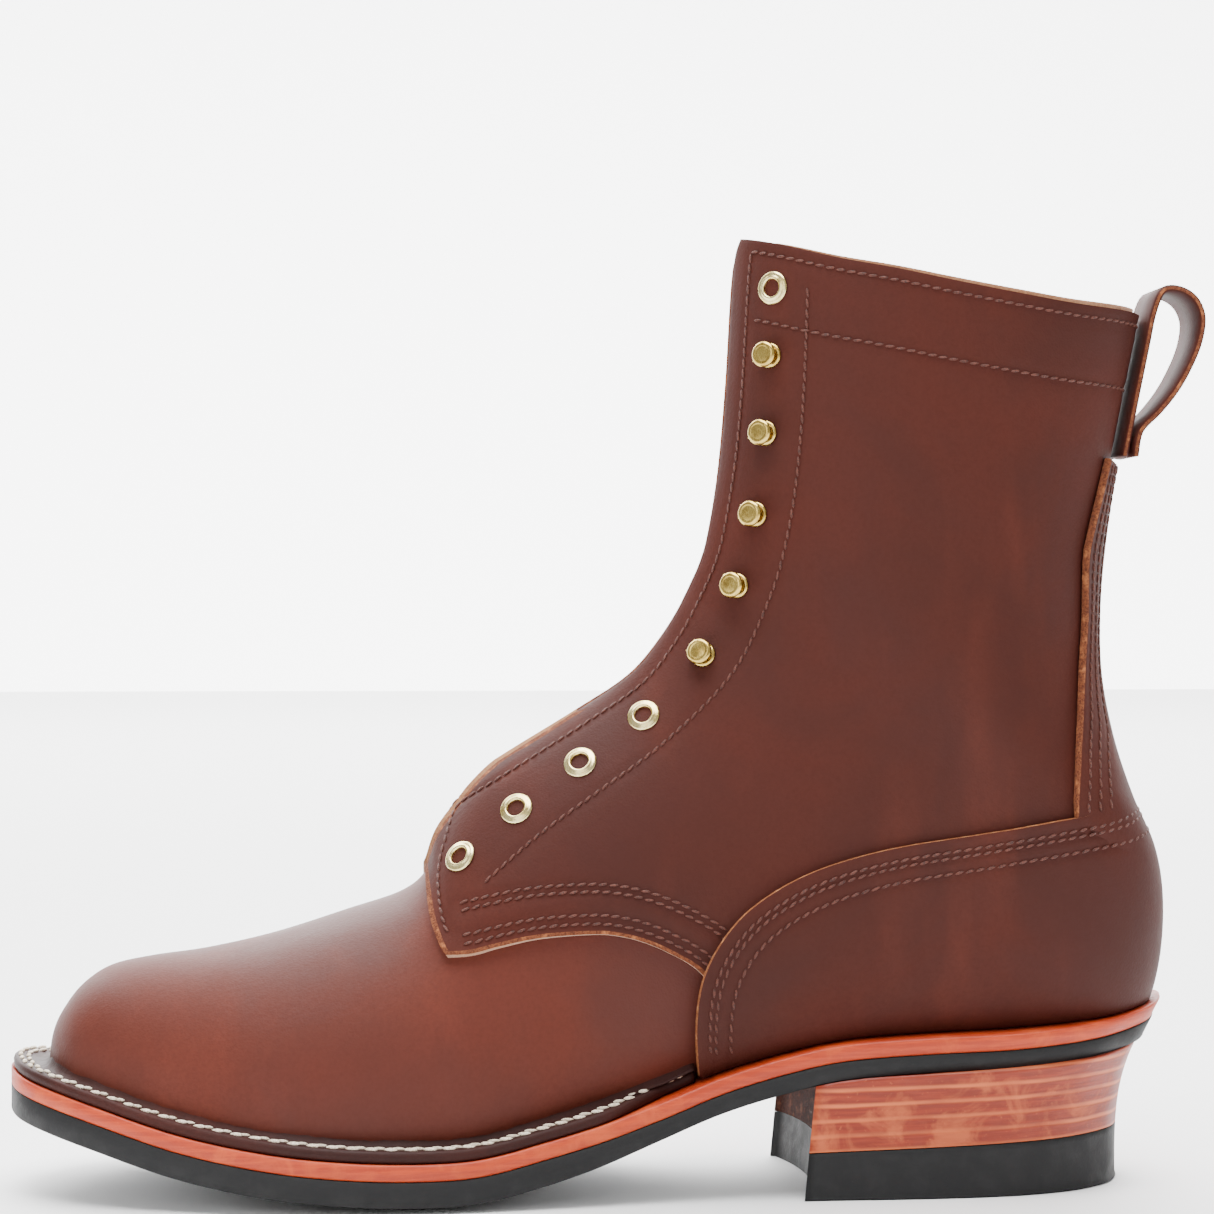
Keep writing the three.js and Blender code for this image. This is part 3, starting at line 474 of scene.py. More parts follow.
class Finish:
    """One material, with a single way to add nodes."""

    def __init__(self, name):
        self.material = bpy.data.materials.new(name)
        self.material.use_nodes = True
        self.tree = self.material.node_tree
        self.tree.nodes.clear()
        output = self.tree.nodes.new("ShaderNodeOutputMaterial")
        self.shader = self.tree.nodes.new("ShaderNodeBsdfPrincipled")
        self.tree.links.new(self.shader.outputs[0], output.inputs[0])

    def node(self, kind, settings=None, inputs=None, output=0):
        node = self.tree.nodes.new(kind)
        for key, value in (settings or {}).items():
            setattr(node, key, value)
        for key, value in (inputs or {}).items():
            self.put(node.inputs[key], value)
        return Value(self, node.outputs[output])

    def put(self, socket, value):
        if isinstance(value, Value):
            self.tree.links.new(value.socket, socket)
        else:
            socket.default_value = value

    def set(self, **values):
        for key, value in values.items():
            self.put(self.shader.inputs[key.replace("_", " ")], value)

    def object_place(self, stretch=(1, 1, 1)):
        place = self.node("ShaderNodeTexCoord", output="Object")
        return self.node("ShaderNodeMapping", {}, {"Vector": place, "Scale": stretch})

    def noise(self, place, scale, detail=3, roughness=0.5, distortion=0):
        return self.node("ShaderNodeTexNoise", {}, {
            "Vector": place, "Scale": scale, "Detail": detail, "Roughness": roughness,
            "Distortion": distortion})

    def cells(self, place, scale):
        return self.node("ShaderNodeTexVoronoi", {}, {"Vector": place, "Scale": scale})

    def ramp(self, value, low, high, out_low=0.0, out_high=1.0):
        return self.node("ShaderNodeMapRange", {"interpolation_type": "SMOOTHSTEP"}, {
            "Value": value, "From Min": low, "From Max": high, "To Min": out_low, "To Max": out_high})

    def mix(self, factor, first, second, mode="MIX"):
        return self.node("ShaderNodeMix", {"data_type": "RGBA", "blend_type": mode, "clamp_factor": True},
                         {0: factor, 6: first, 7: second}, output=2)

    def bump(self, height, distance, strength=1.0):
        return self.node("ShaderNodeBump", {}, {"Height": height, "Distance": distance, "Strength": strength})


def color(red, green, blue):
    """A shader colour from display values between 0 and 255."""
    linear = [((v / 255 + 0.055) / 1.055) ** 2.4 if v > 10 else v / 255 / 12.92 for v in (red, green, blue)]
    return (*linear, 1)


def leather(name, base, dark, light, roughness=0.62, specular=0.2):
    """Oiled smooth leather: faint pores, a cloudy tone and a soft gloss."""
    finish = Finish(name)
    place = finish.object_place()
    clouds = finish.noise(place, 16, 4, 0.55, 0.4)
    streaks = finish.noise(finish.object_place((5, 5, 1.2)), 9, 3, 0.6)
    pores = finish.cells(place, 1500)
    fine = finish.noise(place, 900, 3, 0.6)
    wrinkle = finish.noise(place, 240, 4, 0.6)
    tone = finish.mix(finish.ramp(clouds, 0.32, 0.68), dark, base)
    tone = finish.mix(finish.ramp(streaks, 0.5, 0.8, 0, 0.6), tone, light)
    tone = finish.mix(finish.ramp(fine, 0.35, 0.75, 0, 0.35), tone, dark)
    height = pores * 0.35 + fine * 0.45 + wrinkle * 0.6
    dullness = finish.ramp(clouds + fine * 0.3, 0.4, 0.9, roughness - 0.07, roughness + 0.1)
    finish.set(Base_Color=tone, Roughness=dullness, Specular_IOR_Level=specular,
               Normal=finish.bump(height, 0.00018, 0.6))
    return finish.material


def raw_edge(name, base, dark, light):
    """The cut edge of leather: loose tan fibres."""
    finish = Finish(name)
    place = finish.object_place()
    fibres = finish.noise(place, 1700, 4, 0.7, 0.5)
    clumps = finish.noise(place, 420, 3, 0.6)
    tone = finish.mix(finish.ramp(fibres, 0.35, 0.65), dark, base)
    tone = finish.mix(finish.ramp(clumps, 0.5, 0.75), tone, light)
    finish.set(Base_Color=tone, Roughness=0.9, Specular_IOR_Level=0.2,
               Normal=finish.bump(fibres * 0.6 + clumps, 0.0006, 0.9))
    return finish.material


def sole_leather(name, base, dark, light, layers=0):
    """The edge of sole leather: fine fibres that run along it and, in a stack, a line at each lift."""
    finish = Finish(name)
    place = finish.node("ShaderNodeTexCoord", output="UV")
    along = finish.node("ShaderNodeMapping", {}, {"Vector": place, "Scale": (60, 900, 1)})
    fibres = finish.noise(along, 1, 5, 0.65, 0.3)
    patches = finish.noise(finish.object_place(), 90, 4, 0.6, 0.6)
    specks = finish.noise(finish.object_place(), 900, 3, 0.7)
    tone = finish.mix(finish.ramp(fibres, 0.38, 0.66), dark, base)
    tone = finish.mix(finish.ramp(patches, 0.48, 0.7, 0, 0.55), tone, light)
    tone = finish.mix(finish.ramp(specks, 0.6, 0.8, 0, 0.5), tone, light)
    height = fibres * 0.5 + specks * 0.5
    if layers:
        level = finish.node("ShaderNodeSeparateXYZ", {}, {"Vector": place}, output=1)
        waves = finish.node("ShaderNodeMapping", {}, {"Vector": place, "Scale": (22, 60, 1)})
        wave = finish.noise(waves, 1, 3, 0.6)
        phase = level * (1 / (LIFT_HEIGHT * MM)) + wave * 0.35
        saw = finish.node("ShaderNodeMath", {"operation": "FRACT"}, {0: phase})
        line = finish.ramp(saw, 0.0, 0.16) * finish.ramp(saw, 0.22, 0.42, 1, 0)
        lit = finish.ramp(wave, 0.35, 0.6, 0.25, 0.95)
        tone = finish.mix(line * lit, tone, light)
        height = height + line * -0.6
    finish.set(Base_Color=tone, Roughness=finish.ramp(patches, 0.3, 0.7, 0.42, 0.6), Specular_IOR_Level=0.4,
               Normal=finish.bump(height, 0.0003, 0.6))
    return finish.material


def rubber(name):
    finish = Finish(name)
    place = finish.object_place()
    dust = finish.noise(place, 140, 4, 0.6, 0.4)
    grit = finish.noise(place, 1100, 3, 0.7)
    tone = finish.mix(finish.ramp(dust, 0.45, 0.75, 0, 0.6), color(13, 13, 14), color(22, 22, 24))
    tone = finish.mix(finish.ramp(grit, 0.68, 0.8, 0, 0.5), tone, color(52, 52, 52))
    finish.set(Base_Color=tone, Roughness=finish.ramp(dust, 0.3, 0.7, 0.55, 0.72), Specular_IOR_Level=0.35,
               Normal=finish.bump(grit * 0.7 + dust * 0.5, 0.0003, 0.5))
    return finish.material


def brass(name, base, deep):
    finish = Finish(name)
    place = finish.object_place()
    scratches = finish.noise(finish.object_place((3, 1, 1)), 1100, 3, 0.6)
    tarnish = finish.noise(place, 260, 3, 0.6)
    tone = finish.mix(finish.ramp(tarnish, 0.4, 0.75), base, deep)
    finish.set(Base_Color=tone, Metallic=1.0, Roughness=finish.ramp(scratches, 0.3, 0.7, 0.16, 0.3),
               Normal=finish.bump(scratches, 0.00004, 0.4))
    return finish.material


def thread(name, base, dark):
    """Twisted thread: slanted strands and a little wear."""
    finish = Finish(name)
    place = finish.object_place()
    strands = finish.noise(place, 2600, 2, 0.5)
    wear = finish.noise(place, 300, 3, 0.6)
    tone = finish.mix(finish.ramp(strands, 0.35, 0.6), dark, base)
    tone = finish.mix(finish.ramp(wear, 0.5, 0.8, 0, 0.5), tone, dark)
    finish.set(Base_Color=tone, Roughness=0.62, Specular_IOR_Level=0.4,
               Normal=finish.bump(strands, 0.00025, 0.7))
    return finish.material


def napped(name, base, dark, light):
    """The flesh side of leather: short nap, no gloss."""
    finish = Finish(name)
    place = finish.object_place()
    nap = finish.noise(place, 1300, 4, 0.7, 0.6)
    clouds = finish.noise(place, 45, 4, 0.6)
    tone = finish.mix(finish.ramp(nap, 0.35, 0.65), dark, base)
    tone = finish.mix(finish.ramp(clouds, 0.45, 0.75, 0, 0.7), tone, light)
    finish.set(Base_Color=tone, Roughness=0.92, Specular_IOR_Level=0.18, Sheen_Weight=0.25,
               Normal=finish.bump(nap, 0.0004, 0.6))
    return finish.material


UPPER = leather("upper_leather", color(84, 32, 18), color(70, 25, 14), color(98, 39, 23), specular=0.27)
# The shaft leather is the vamp's leather made darker: partly the shaft's own tone, partly painted shade for
# sides that face away from the light.
SHAFT_TONE_AND_SHADE = leather("shaft_leather_and_painted_shade", color(68, 25, 15), color(56, 20, 12), color(80, 32, 20), 0.66)
FLANGE = leather("flange_leather", color(54, 21, 15), color(40, 15, 11), color(72, 29, 21), 0.6)
EDGE = raw_edge("raw_edge", color(158, 96, 56), color(104, 58, 34), color(196, 138, 92))
DARK_EDGE = raw_edge("dark_raw_edge", color(122, 68, 42), color(78, 40, 26), color(160, 98, 60))
LINING = napped("flesh_side", color(176, 128, 92), color(146, 100, 70), color(196, 150, 112))
TONGUE = leather("tongue_leather", color(112, 72, 58), color(92, 56, 45), color(126, 86, 70), 0.62)
MIDSOLE = sole_leather("midsole_leather", color(182, 60, 17), color(158, 46, 13), color(200, 84, 36))
STACK = sole_leather("stacked_leather", color(142, 45, 16), color(120, 35, 12), color(204, 104, 58), layers=1)
# Painted shade: the heel breast's dark colour stands in for the shadow that falls on it under the arch.
SHADED_BREAST = raw_edge("heel_breast_painted_shade", color(76, 38, 27), color(46, 24, 18), color(104, 60, 42))
RUBBER = rubber("sole_rubber")
BRASS = brass("brass", color(236, 220, 160), color(204, 178, 104))
HOOK_BRASS = brass("hook_brass", color(206, 178, 98), color(168, 136, 66))
BROWN_THREAD = thread("brown_thread", color(92, 46, 33), color(52, 24, 18))
CREAM_THREAD = thread("cream_thread", color(238, 226, 206), color(196, 176, 150))
INSOLE = napped("insole_leather", color(190, 142, 104), color(160, 112, 78), color(206, 162, 124))


# Meshes
def make_object(name, bm, materials):
    mesh = bpy.data.meshes.new(name)
    bm.to_mesh(mesh)
    bm.free()
    piece = bpy.data.objects.new(name, mesh)
    bpy.context.scene.collection.objects.link(piece)
    for material in materials:
        mesh.materials.append(material)
    mesh.shade_smooth()
    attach(piece, "root")
    return piece


def sheet_mesh(points, outwards, drop=None):
    """A sheet through a grid of points in rows, its faces turned along the given directions."""
    rows, columns = points.shape[:2]
    bm = bmesh.new()
    bmesh.ops.create_grid(bm, x_segments=columns - 1, y_segments=rows - 1, size=1)
    bm.verts.ensure_lookup_table()
    for vertex, place in zip(bm.verts, points.reshape(-1, 3) * MM):
        vertex.co = place
    bm.normal_update()
    middle = bm.verts[rows // 2 * columns + columns // 2]
    if middle.normal.dot(Vector(outwards[rows // 2, columns // 2])) < 0:
        bmesh.ops.reverse_faces(bm, faces=bm.faces)
    if drop is not None:
        hidden = drop.reshape(-1)
        for vertex in bm.verts:
            vertex.tag = bool(hidden[vertex.index])
        gone = [face for face in bm.faces if all(vertex.tag for vertex in face.verts)]
        bmesh.ops.delete(bm, geom=gone, context="FACES")
    bmesh.ops.remove_doubles(bm, verts=bm.verts, dist=0.02 * MM)
    return bm


def thicken(piece, thickness, round_edge=0.5):
    """A wall inwards from the sheet, with rounded raw edges."""
    wall = piece.modifiers.new("wall", "SOLIDIFY")
    wall.thickness = thickness * MM
    wall.offset = -1
    wall.material_offset = 2
    wall.material_offset_rim = 1
    edge = piece.modifiers.new("edge", "BEVEL")
    edge.width = round_edge * MM
    edge.segments = 2
    edge.material = 1
    edge.limit_method = "ANGLE"
    edge.angle_limit = math.radians(50)


def settle(points):
    """Keeps a panel on top of the midsole, and tells which points had to be lifted."""
    floor = seat(points[..., 0], points[..., 1]) + GAP
    low = points[..., 2] < floor
    points[..., 2] = np.maximum(points[..., 2], floor)
    return low


# Seams are rows of stitches, each sunk a little into its panel
class Seam:
    def __init__(self, points, side, offset):
        fine = even(points, FINE_STEP)
        lengths = lengths_along(on_skin(fine, side, 0)[0])
        at = np.linspace(0, lengths[-1], max(2, int(round(lengths[-1] / STITCH_PITCH)) + 1))
        self.path = np.stack([np.interp(at, lengths, fine[:, k]) for k in (0, 1)], axis=1)
        self.side = side
        self.offset = offset

    def ground(self):
        return on_skin(self.path, self.side, 0)[0]


def seams_of(rows, offset):
    return [Seam(points, side, offset) for points in rows for side in (1, -1)]


def trim(points, first, last):
    """A stretch of a curve between two shares of its length."""
    fine = even(points, FINE_STEP)
    return fine[int(first * (len(fine) - 1)):int(last * (len(fine) - 1)) + 1]


quarter_rows = [
    trim(shifted(THROAT_CURVE, INWARD_OF_THROAT), 0.02, 0.985),
    trim(shifted(FITTING_CURVE, -FACING_BAND), 0.0, 1.0),
    trim(shifted(COLLAR_CURVE, COLLAR_SEAM), 0.03, 1.0),
    trim(shifted(COLLAR_CURVE, COLLAR_BAND), 0.075, 0.97),
] + [trim(shifted(QUARTER_CURVE, -d), 0.06, 0.97) for d in QUARTER_SEAMS]
counter_rows = [trim(shifted(COUNTER_CURVE, -d), 0.0, 0.97) for d in COUNTER_SEAMS]


def backstay_row(distance, share):
    """A row beside the strip's edge, never past a share of the way round to the middle of the back."""
    back = skin(np.linspace(HEEL_BOTTOM_ROW, LAST_ROW, 240), np.full(240, np.pi))
    back_x = np.interp(BACKSTAY_CURVE[:, 1], back[:, 2], back[:, 0])
    step = np.minimum(distance, share * (BACKSTAY_CURVE[:, 0] - back_x))
    return trim(BACKSTAY_CURVE - np.stack([step, 0 * step], axis=1), 0.02, 0.97)


backstay_rows = [backstay_row(distance, share) for distance, share in BACKSTAY_SEAMS]
quarter_seams = seams_of(quarter_rows, LEATHER)
counter_seams = seams_of(counter_rows, 2 * LEATHER + GAP)
backstay_seams = seams_of(backstay_rows, 2 * LEATHER + GAP)


def sunk(points, seams):
    """How far each point sinks beside the seams."""
    grounds = [seam.ground() for seam in seams]
    fine = np.vstack([even(ground, 0.9) for ground in grounds])
    tree = kdtree.KDTree(len(fine))
    for i, place in enumerate(fine):
        tree.insert(place, i)
    tree.balance()
    flat = points.reshape(-1, 3)
    distance = np.array([tree.find(place)[2] for place in flat]).reshape(points.shape[:2])
    return SEAM_DEPTH * np.exp(-(distance / SEAM_SPREAD) ** 2)


# Upper panels
def gathers(points):
    """Small gathers that each stitch draws into the leather just above the sole."""
    x, y, z = points[..., 0], points[..., 1], points[..., 2]
    round_toe = TOE_RADIUS * np.arctan2(np.abs(y), x - TOE_MIDDLE)
    along = np.where(x > TOE_MIDDLE, round_toe, TOE_RADIUS * np.pi / 2 + TOE_MIDDLE - x)
    height = z - seat(x, y)
    near_sole = np.exp(-(height / GATHER_HEIGHT) ** 2) * blend(x, 20, 60)
    return GATHER_DEPTH * near_sole * (0.5 + 0.5 * np.cos(2 * np.pi * along / FLANGE_PITCH))


def vamp():
    rows = np.concatenate([np.linspace(0, 3, 22)[:-1], np.linspace(3, VAMP_TOP_ROW, 130)])
    angles = np.linspace(0, 2 * np.pi, 221)
    row, angle = np.meshgrid(rows, angles, indexing="ij")
    points = skin(row, angle)
    normals = skin_normals(row, angle)
    turn = np.minimum(angle, 2 * np.pi - angle)
    open_throat = (row > VAMP_THROAT_ROW) & (turn < VAMP_THROAT_ANGLE)
    points -= normals * gathers(points)[..., None]
    low = settle(points) | open_throat
    bm = sheet_mesh(points, normals, low)
    piece = make_object("vamp_leather", bm, (UPPER, EDGE, LINING))
    thicken(piece, VAMP_LEATHER)
    return piece


def by_share(values, count):
    """Values along a boundary, spread evenly over its length."""
    lengths = lengths_along(skin(values[:, 0], values[:, 1]))
    at = np.linspace(0, lengths[-1], count)
    return np.stack([np.interp(at, lengths, values[:, k]) for k in (0, 1)], axis=1)


def quarter_patch(across, up, throat):
    """Row numbers and angles over one side, between the throat, the collar, the back and the lower edge."""
    row, angle = place_on_last(even(throat, 1.0))
    left = np.stack([row, np.maximum(angle, CREST_ANGLE)], axis=1)
    row, angle = place_on_last(even(COLLAR_CURVE, 1.0))
    top = np.stack([row, angle], axis=1)[angle > left[-1, 1] + 0.02]
    top = np.vstack([left[-1:], top, [[row[-1], np.pi]]])
    row, angle = place_on_last(even(QUARTER_CURVE, 1.0))
    bottom = np.stack([row, angle], axis=1)
    bottom[0] = left[0]
    hidden = np.linspace(bottom[-1], (QUARTER_HIDDEN_ROW, np.pi), 40)
    bottom = np.vstack([bottom, hidden[1:]])
    collar_row = place_on_last(COLLAR_CURVE[-1:])[0][0]
    right = np.stack([np.linspace(QUARTER_HIDDEN_ROW, collar_row, 60), np.full(60, np.pi)], axis=1)
    left, right = by_share(left, up), by_share(right, up)
    bottom, top = by_share(bottom, across), by_share(top, across)
    s = np.linspace(0, 1, across)[None, :, None]
    t = np.linspace(0, 1, up)[:, None, None]
    ends = (1 - t) * bottom[None] + t * top[None]
    near_throat = (1 - s) ** EDGE_HOLD * (left[:, None] - ends[:, :1])
    near_back = s ** EDGE_HOLD * (right[:, None] - ends[:, -1:])
    return ends + near_throat + near_back


def quarters():
    set_back = INNER_THROAT_SETBACK * blend(THROAT_CURVE[:, 1], 100, 185)
    outer = quarter_patch(100, 190, THROAT_CURVE)
    inner = quarter_patch(100, 190, shifted(THROAT_CURVE, set_back[:, None]))[:, -2::-1]
    row = np.concatenate([outer[..., 0], inner[..., 0]], axis=1)
    angle = np.concatenate([outer[..., 1], 2 * np.pi - inner[..., 1]], axis=1)
    ground = skin(row, angle)
    normals = skin_normals(row, angle)
    under_counter = blend(-np.cos(angle), 0.7, 0.85) * (1 - blend(row, 16.8, 18.2))
    lift = LEATHER - sunk(ground, quarter_seams) - HIDDEN_DEPTH * under_counter
    points = ground + normals * lift[..., None]
    low = settle(points)
    bm = sheet_mesh(points, normals, low)
    for face in bm.faces:
        near_edge = any(edge.is_boundary for edge in face.edges)
        if near_edge and face.calc_center_median().z < RAW_BAND_TOP * MM:
            face.material_index = 1
    piece = make_object("quarter_panels", bm, (SHAFT_TONE_AND_SHADE, DARK_EDGE, LINING))
    thicken(piece, LEATHER + BACKING)
    return piece


def collar_lining():
    """A thin tan layer inside the collar that stands a little proud of it."""
    row, angle = place_on_last(even(COLLAR_CURVE, 1.5))
    keep = angle > 0.55
    row = np.append(row[keep], row[-1])
    angle = np.append(angle[keep], np.pi)
    row = np.concatenate([row, row[-2::-1]])
    angle = np.concatenate([angle, 2 * np.pi - angle[-2::-1]])
    drop = np.linspace(0, LINING_DEPTH, 8)[:, None]
    proud = LINING_PROUD * np.sin(np.linspace(0, np.pi, len(row))) ** 0.4
    ground = skin(row + 0 * drop, angle + 0 * drop)
    normals = skin_normals(row + 0 * drop, angle + 0 * drop)
    lower = skin(row - LINING_ROWS_DOWN + 0 * drop, angle + 0 * drop)
    points = ground + (lower - ground) * (drop / LINING_DEPTH)[..., None] - normals * (BACKING + 0.05)
    points[0, :, 2] += proud
    bm = sheet_mesh(points, normals)
    piece = make_object("collar_lining", bm, (LINING, EDGE, LINING))
    thicken(piece, LINING_THICKNESS, 0.3)
    return piece


def second_layer(name, path, seams, rows_back, steps, rim, tucked):
    """A panel over the quarters that goes round the back from one free edge to the other."""
    row_front, angle_front = place_on_last(path)
    row_back = np.interp(np.linspace(0, 1, len(path)), np.linspace(0, 1, len(rows_back)), rows_back)
    share, side = there_and_back(steps)
    row = row_front[:, None] + (row_back - row_front)[:, None] * share[None, :]
    angle = angle_front[:, None] + (np.pi - angle_front)[:, None] * share[None, :]
    angle = np.where(side[None, :] > 0, angle, 2 * np.pi - angle)
    ground = skin(row, angle)
    normals = skin_normals(row, angle)
    along = np.linspace(0, 1, len(path))[:, None]
    lift = 2 * LEATHER + GAP - sunk(ground, seams) - tucked(ground, along)
    points = ground + normals * lift[..., None]
    low = settle(points)
    bm = sheet_mesh(points, normals, low)
    # The counter and backstay take the darker shaft leather as painted shade, since they face away from the
    # light.
    piece = make_object(name, bm, (SHAFT_TONE_AND_SHADE, rim, LINING))
    thicken(piece, LEATHER - 0.05)
    return piece


def top_under_strip(ground, along):
    """How deep the counter's top is tucked under the backstay strip."""
    return COUNTER_TUCK * blend(-ground[..., 0], 32, 38) * blend(ground[..., 2], 90, 97)


def low_end_under_counter(ground, along):
    """How deep the strip's low end is tucked under the counter."""
    return STRIP_TUCK * blend(along, 0.965, 1)


def counter():
    path = even(COUNTER_CURVE, 1.6)
    end = path[-1]
    path = np.vstack([path, [end[0], seat(end[0], 30) - 2]])
    rows_back = (place_on_last(path[:1])[0][0], *COUNTER_BACK_ROWS)
    return second_layer("counter_panel", path, counter_seams, rows_back, 70, EDGE, top_under_strip)


def backstay():
    path = even(BACKSTAY_CURVE, 1.6)
    top_row = place_on_last(path[:1])[0][0]
    low_row = place_on_last(path[-1:])[0][0]
    return second_layer("backstay_strip", path, backstay_seams, (top_row, low_row), 26, DARK_EDGE,
                        low_end_under_counter)


def tongue():
    """A sheet behind the throat, from low under the vamp to just past the collar."""
    front = even(shifted(curve_through(spots(THROAT)[3:], 6), TONGUE_REACH), 2.0)
    row_edge, angle_edge = place_on_last(front)
    row_crest = np.interp(np.linspace(0, 1, len(front)), [0, 1], [9.6, LAST_ROW - 0.5])
    share, side = there_and_back(26)
    row = row_edge[:, None] + (row_crest - row_edge)[:, None] * share[None, :]
    angle = angle_edge[:, None] * (1 - share[None, :]) * side[None, :]
    ground = skin(row, angle)
    normals = skin_normals(row, angle)
    deep = VAMP_LEATHER + 0.4 + 1.2 * blend(row, 9, 11)
    deep = np.where(row > 14, BACKING + 1.6, deep)
    points = ground - normals * deep[..., None]
    bm = sheet_mesh(points, normals)
    piece = make_object("tongue_sheet", bm, (TONGUE, EDGE, LINING))
    thicken(piece, TONGUE_THICKNESS)
    return piece


# The vamp's edge, turned out and stitched to the midsole
def inset(outline, distance):
    run = unit(np.roll(outline, -1, axis=0) - np.roll(outline, 1, axis=0))
    return outline + np.stack([run[:, 1], -run[:, 0]], axis=1) * np.asarray(distance)[:, None]


def flange_path():
    """The stretch of the sole's outline that the flange follows, from waist to waist round the toe."""
    limit = x_at(FLANGE_END_ALONG) + 4
    heel = int(np.argmin(OUTLINE[:, 0]))
    turned = np.roll(OUTLINE, -heel, axis=0)
    inside = turned[turned[:, 0] > limit]
    return even(inside, FLANGE_STEP)


def half_width(x, z, side):
    row, angle = place_on_last(np.stack([x, z], axis=1))
    return skin(row, angle * side)[:, 1] * side


def flange_reach(path, inward):
    """How far in from the sole's edge the upper's wall stands, at each place."""
    reach = np.full(len(path), 30.0)
    for distance in np.arange(30, 1, -0.5):
        place = path + inward * distance
        height = seat(place[:, 0], place[:, 1]) + FLANGE_THICKNESS + 2
        side = np.where(place[:, 1] >= 0, 1, -1)
        beyond = place[:, 0] > x_at(0.966)
        wall = half_width(place[:, 0], height, side)
        outside = (np.abs(place[:, 1]) > wall) | beyond
        reach = np.where(outside, reach, distance)
    kernel = np.ones(9) / 9
    padded = np.concatenate([np.full(4, reach[0]), reach, np.full(4, reach[-1])])
    return np.convolve(padded, kernel, mode="valid")


def flange_frame():
    path = flange_path()
    run = unit(np.gradient(path, axis=0))
    inward = np.stack([run[:, 1], -run[:, 0]], axis=1)
    full = blend(along_at(path[:, 0]), FLANGE_END_ALONG, FLANGE_FULL_ALONG)
    edge = FLANGE_SETBACK + (1 - full) * BALL_WIDTH / 9
    return path, inward, edge, flange_reach(path, inward)


FLANGE_PATH, FLANGE_INWARD, FLANGE_EDGE, FLANGE_REACH = flange_frame()


def flange_place(index, distance, height):
    """A point over the flange's bed, by its distance in from the sole's edge."""
    place = FLANGE_PATH[index] + FLANGE_INWARD[index] * np.asarray(distance)[..., None]
    bed = seat(place[..., 0], place[..., 1]) + GAP
    return np.concatenate([place, (bed + height)[..., None]], axis=-1)


def pucker_at(length):
    """A value that rises and falls along the flange, in step with its stitches."""
    return noise.noise(Vector((length / 5.5, 0.3, 0))) + 0.5 * noise.noise(Vector((length / 2.6, 5, 0)))


def flange():
    """The vamp's edge: down the wall, out over the midsole, round its own edge and back underneath."""
    index = np.arange(len(FLANGE_PATH))
    pucker = np.array([pucker_at(length) for length in index * FLANGE_STEP])
    wall = np.minimum(FLANGE_REACH, 22)
    edge = np.minimum(FLANGE_EDGE, wall - 1.5)
    top = FLANGE_THICKNESS
    profile = [
        (wall + 3.0, top + 9.0, 0), (wall + 1.0, top + 6.0, 0.3), (wall + 0.2, top + 3.6, 0.6),
        (wall - 0.5, top + 1.9, 1.0), (wall - 1.4, top + 0.7, 1.0), (wall - 2.6, top + 0.1, 0.5),
        (np.maximum(wall - 4, edge + 3.4), top - 0.15 + 0 * wall, 0.2), (edge + 3.0, top, 0),
        (edge + 1.6, top, 0), (edge + 0.8, top - 0.25, 0), (edge + 0.25, top - 0.8, 0),
        (edge, top - 1.7, 0), (edge + 0.1, 0.6, 0), (edge + 0.6, 0.02, 0), (wall + 2.0, 0.02, 0),
    ]
    columns = [flange_place(index, 0 * wall + distance, 0 * wall + height + PUCKER_HEIGHT * pucker * share)
               for distance, height, share in profile]
    return make_object("flange", bridged(np.stack(columns, axis=1)), (FLANGE,))


def bridged(rings):
    """A closed form through rings of points, each with the same count."""
    bm = bmesh.new()
    loops = []
    for ring in rings:
        vertices = [bm.verts.new(Vector(place) * MM) for place in ring]
        loops.append([bm.edges.new((vertices[i - 1], vertices[i])) for i in range(len(vertices))])
    for first, second in zip(loops, loops[1:]):
        bmesh.ops.bridge_loops(bm, edges=first + second)
    for edges in (loops[0], loops[-1]):
        bmesh.ops.holes_fill(bm, edges=edges)
    bmesh.ops.recalc_face_normals(bm, faces=bm.faces)
    return bm


# The sole's layers
def stations(edges, count):
    outer, inner = edges
    low = max(outer[0, 0], inner[0, 0]) + 0.02
    high = min(outer[-1, 0], inner[-1, 0]) - 0.02
    angle = np.linspace(0, np.pi, count)
    return (low + high) / 2 - (high - low) / 2 * np.cos(angle)


def across(edges, x, cut):
    """Places from the inner to the outer edge at one station, less a cut at each end."""
    low = float(outline_y(edges, x, -1))
    high = float(outline_y(edges, x, 1))
    middle = (low + high) / 2
    half = max((high - low) / 2 - cut, 0.01)
    return middle + half * np.linspace(-1, 1, 13)


def slab(name, lower, upper, floor_at, roof_at, material, corner):
    """A layer of the sole with slightly rounded edges."""
    rings = []
    lower_edges = split_outline(lower)
    upper_edges = split_outline(upper)
    for x_low, x_high in zip(stations(lower_edges, SOLE_STATIONS), stations(upper_edges, SOLE_STATIONS)):
        ring = []
        for y in across(upper_edges, x_high, corner):
            ring.append((x_high, y, float(roof_at(x_high, y))))
        low_y, high_y = across(upper_edges, x_high, 0)[[0, -1]]
        base_low, base_high = across(lower_edges, x_low, 0)[[0, -1]]
        ring.append((x_high, high_y, float(roof_at(x_high, high_y)) - corner))
        ring.append((x_low, base_high, float(floor_at(x_low, base_high)) + corner))
        for y in across(lower_edges, x_low, corner)[::-1]:
            ring.append((x_low, y, float(floor_at(x_low, y))))
        ring.append((x_low, base_low, float(floor_at(x_low, base_low)) + corner))
        ring.append((x_high, low_y, float(roof_at(x_high, low_y)) - corner))
        rings.append(ring)
    return ringed_piece(name, rings, (material,))


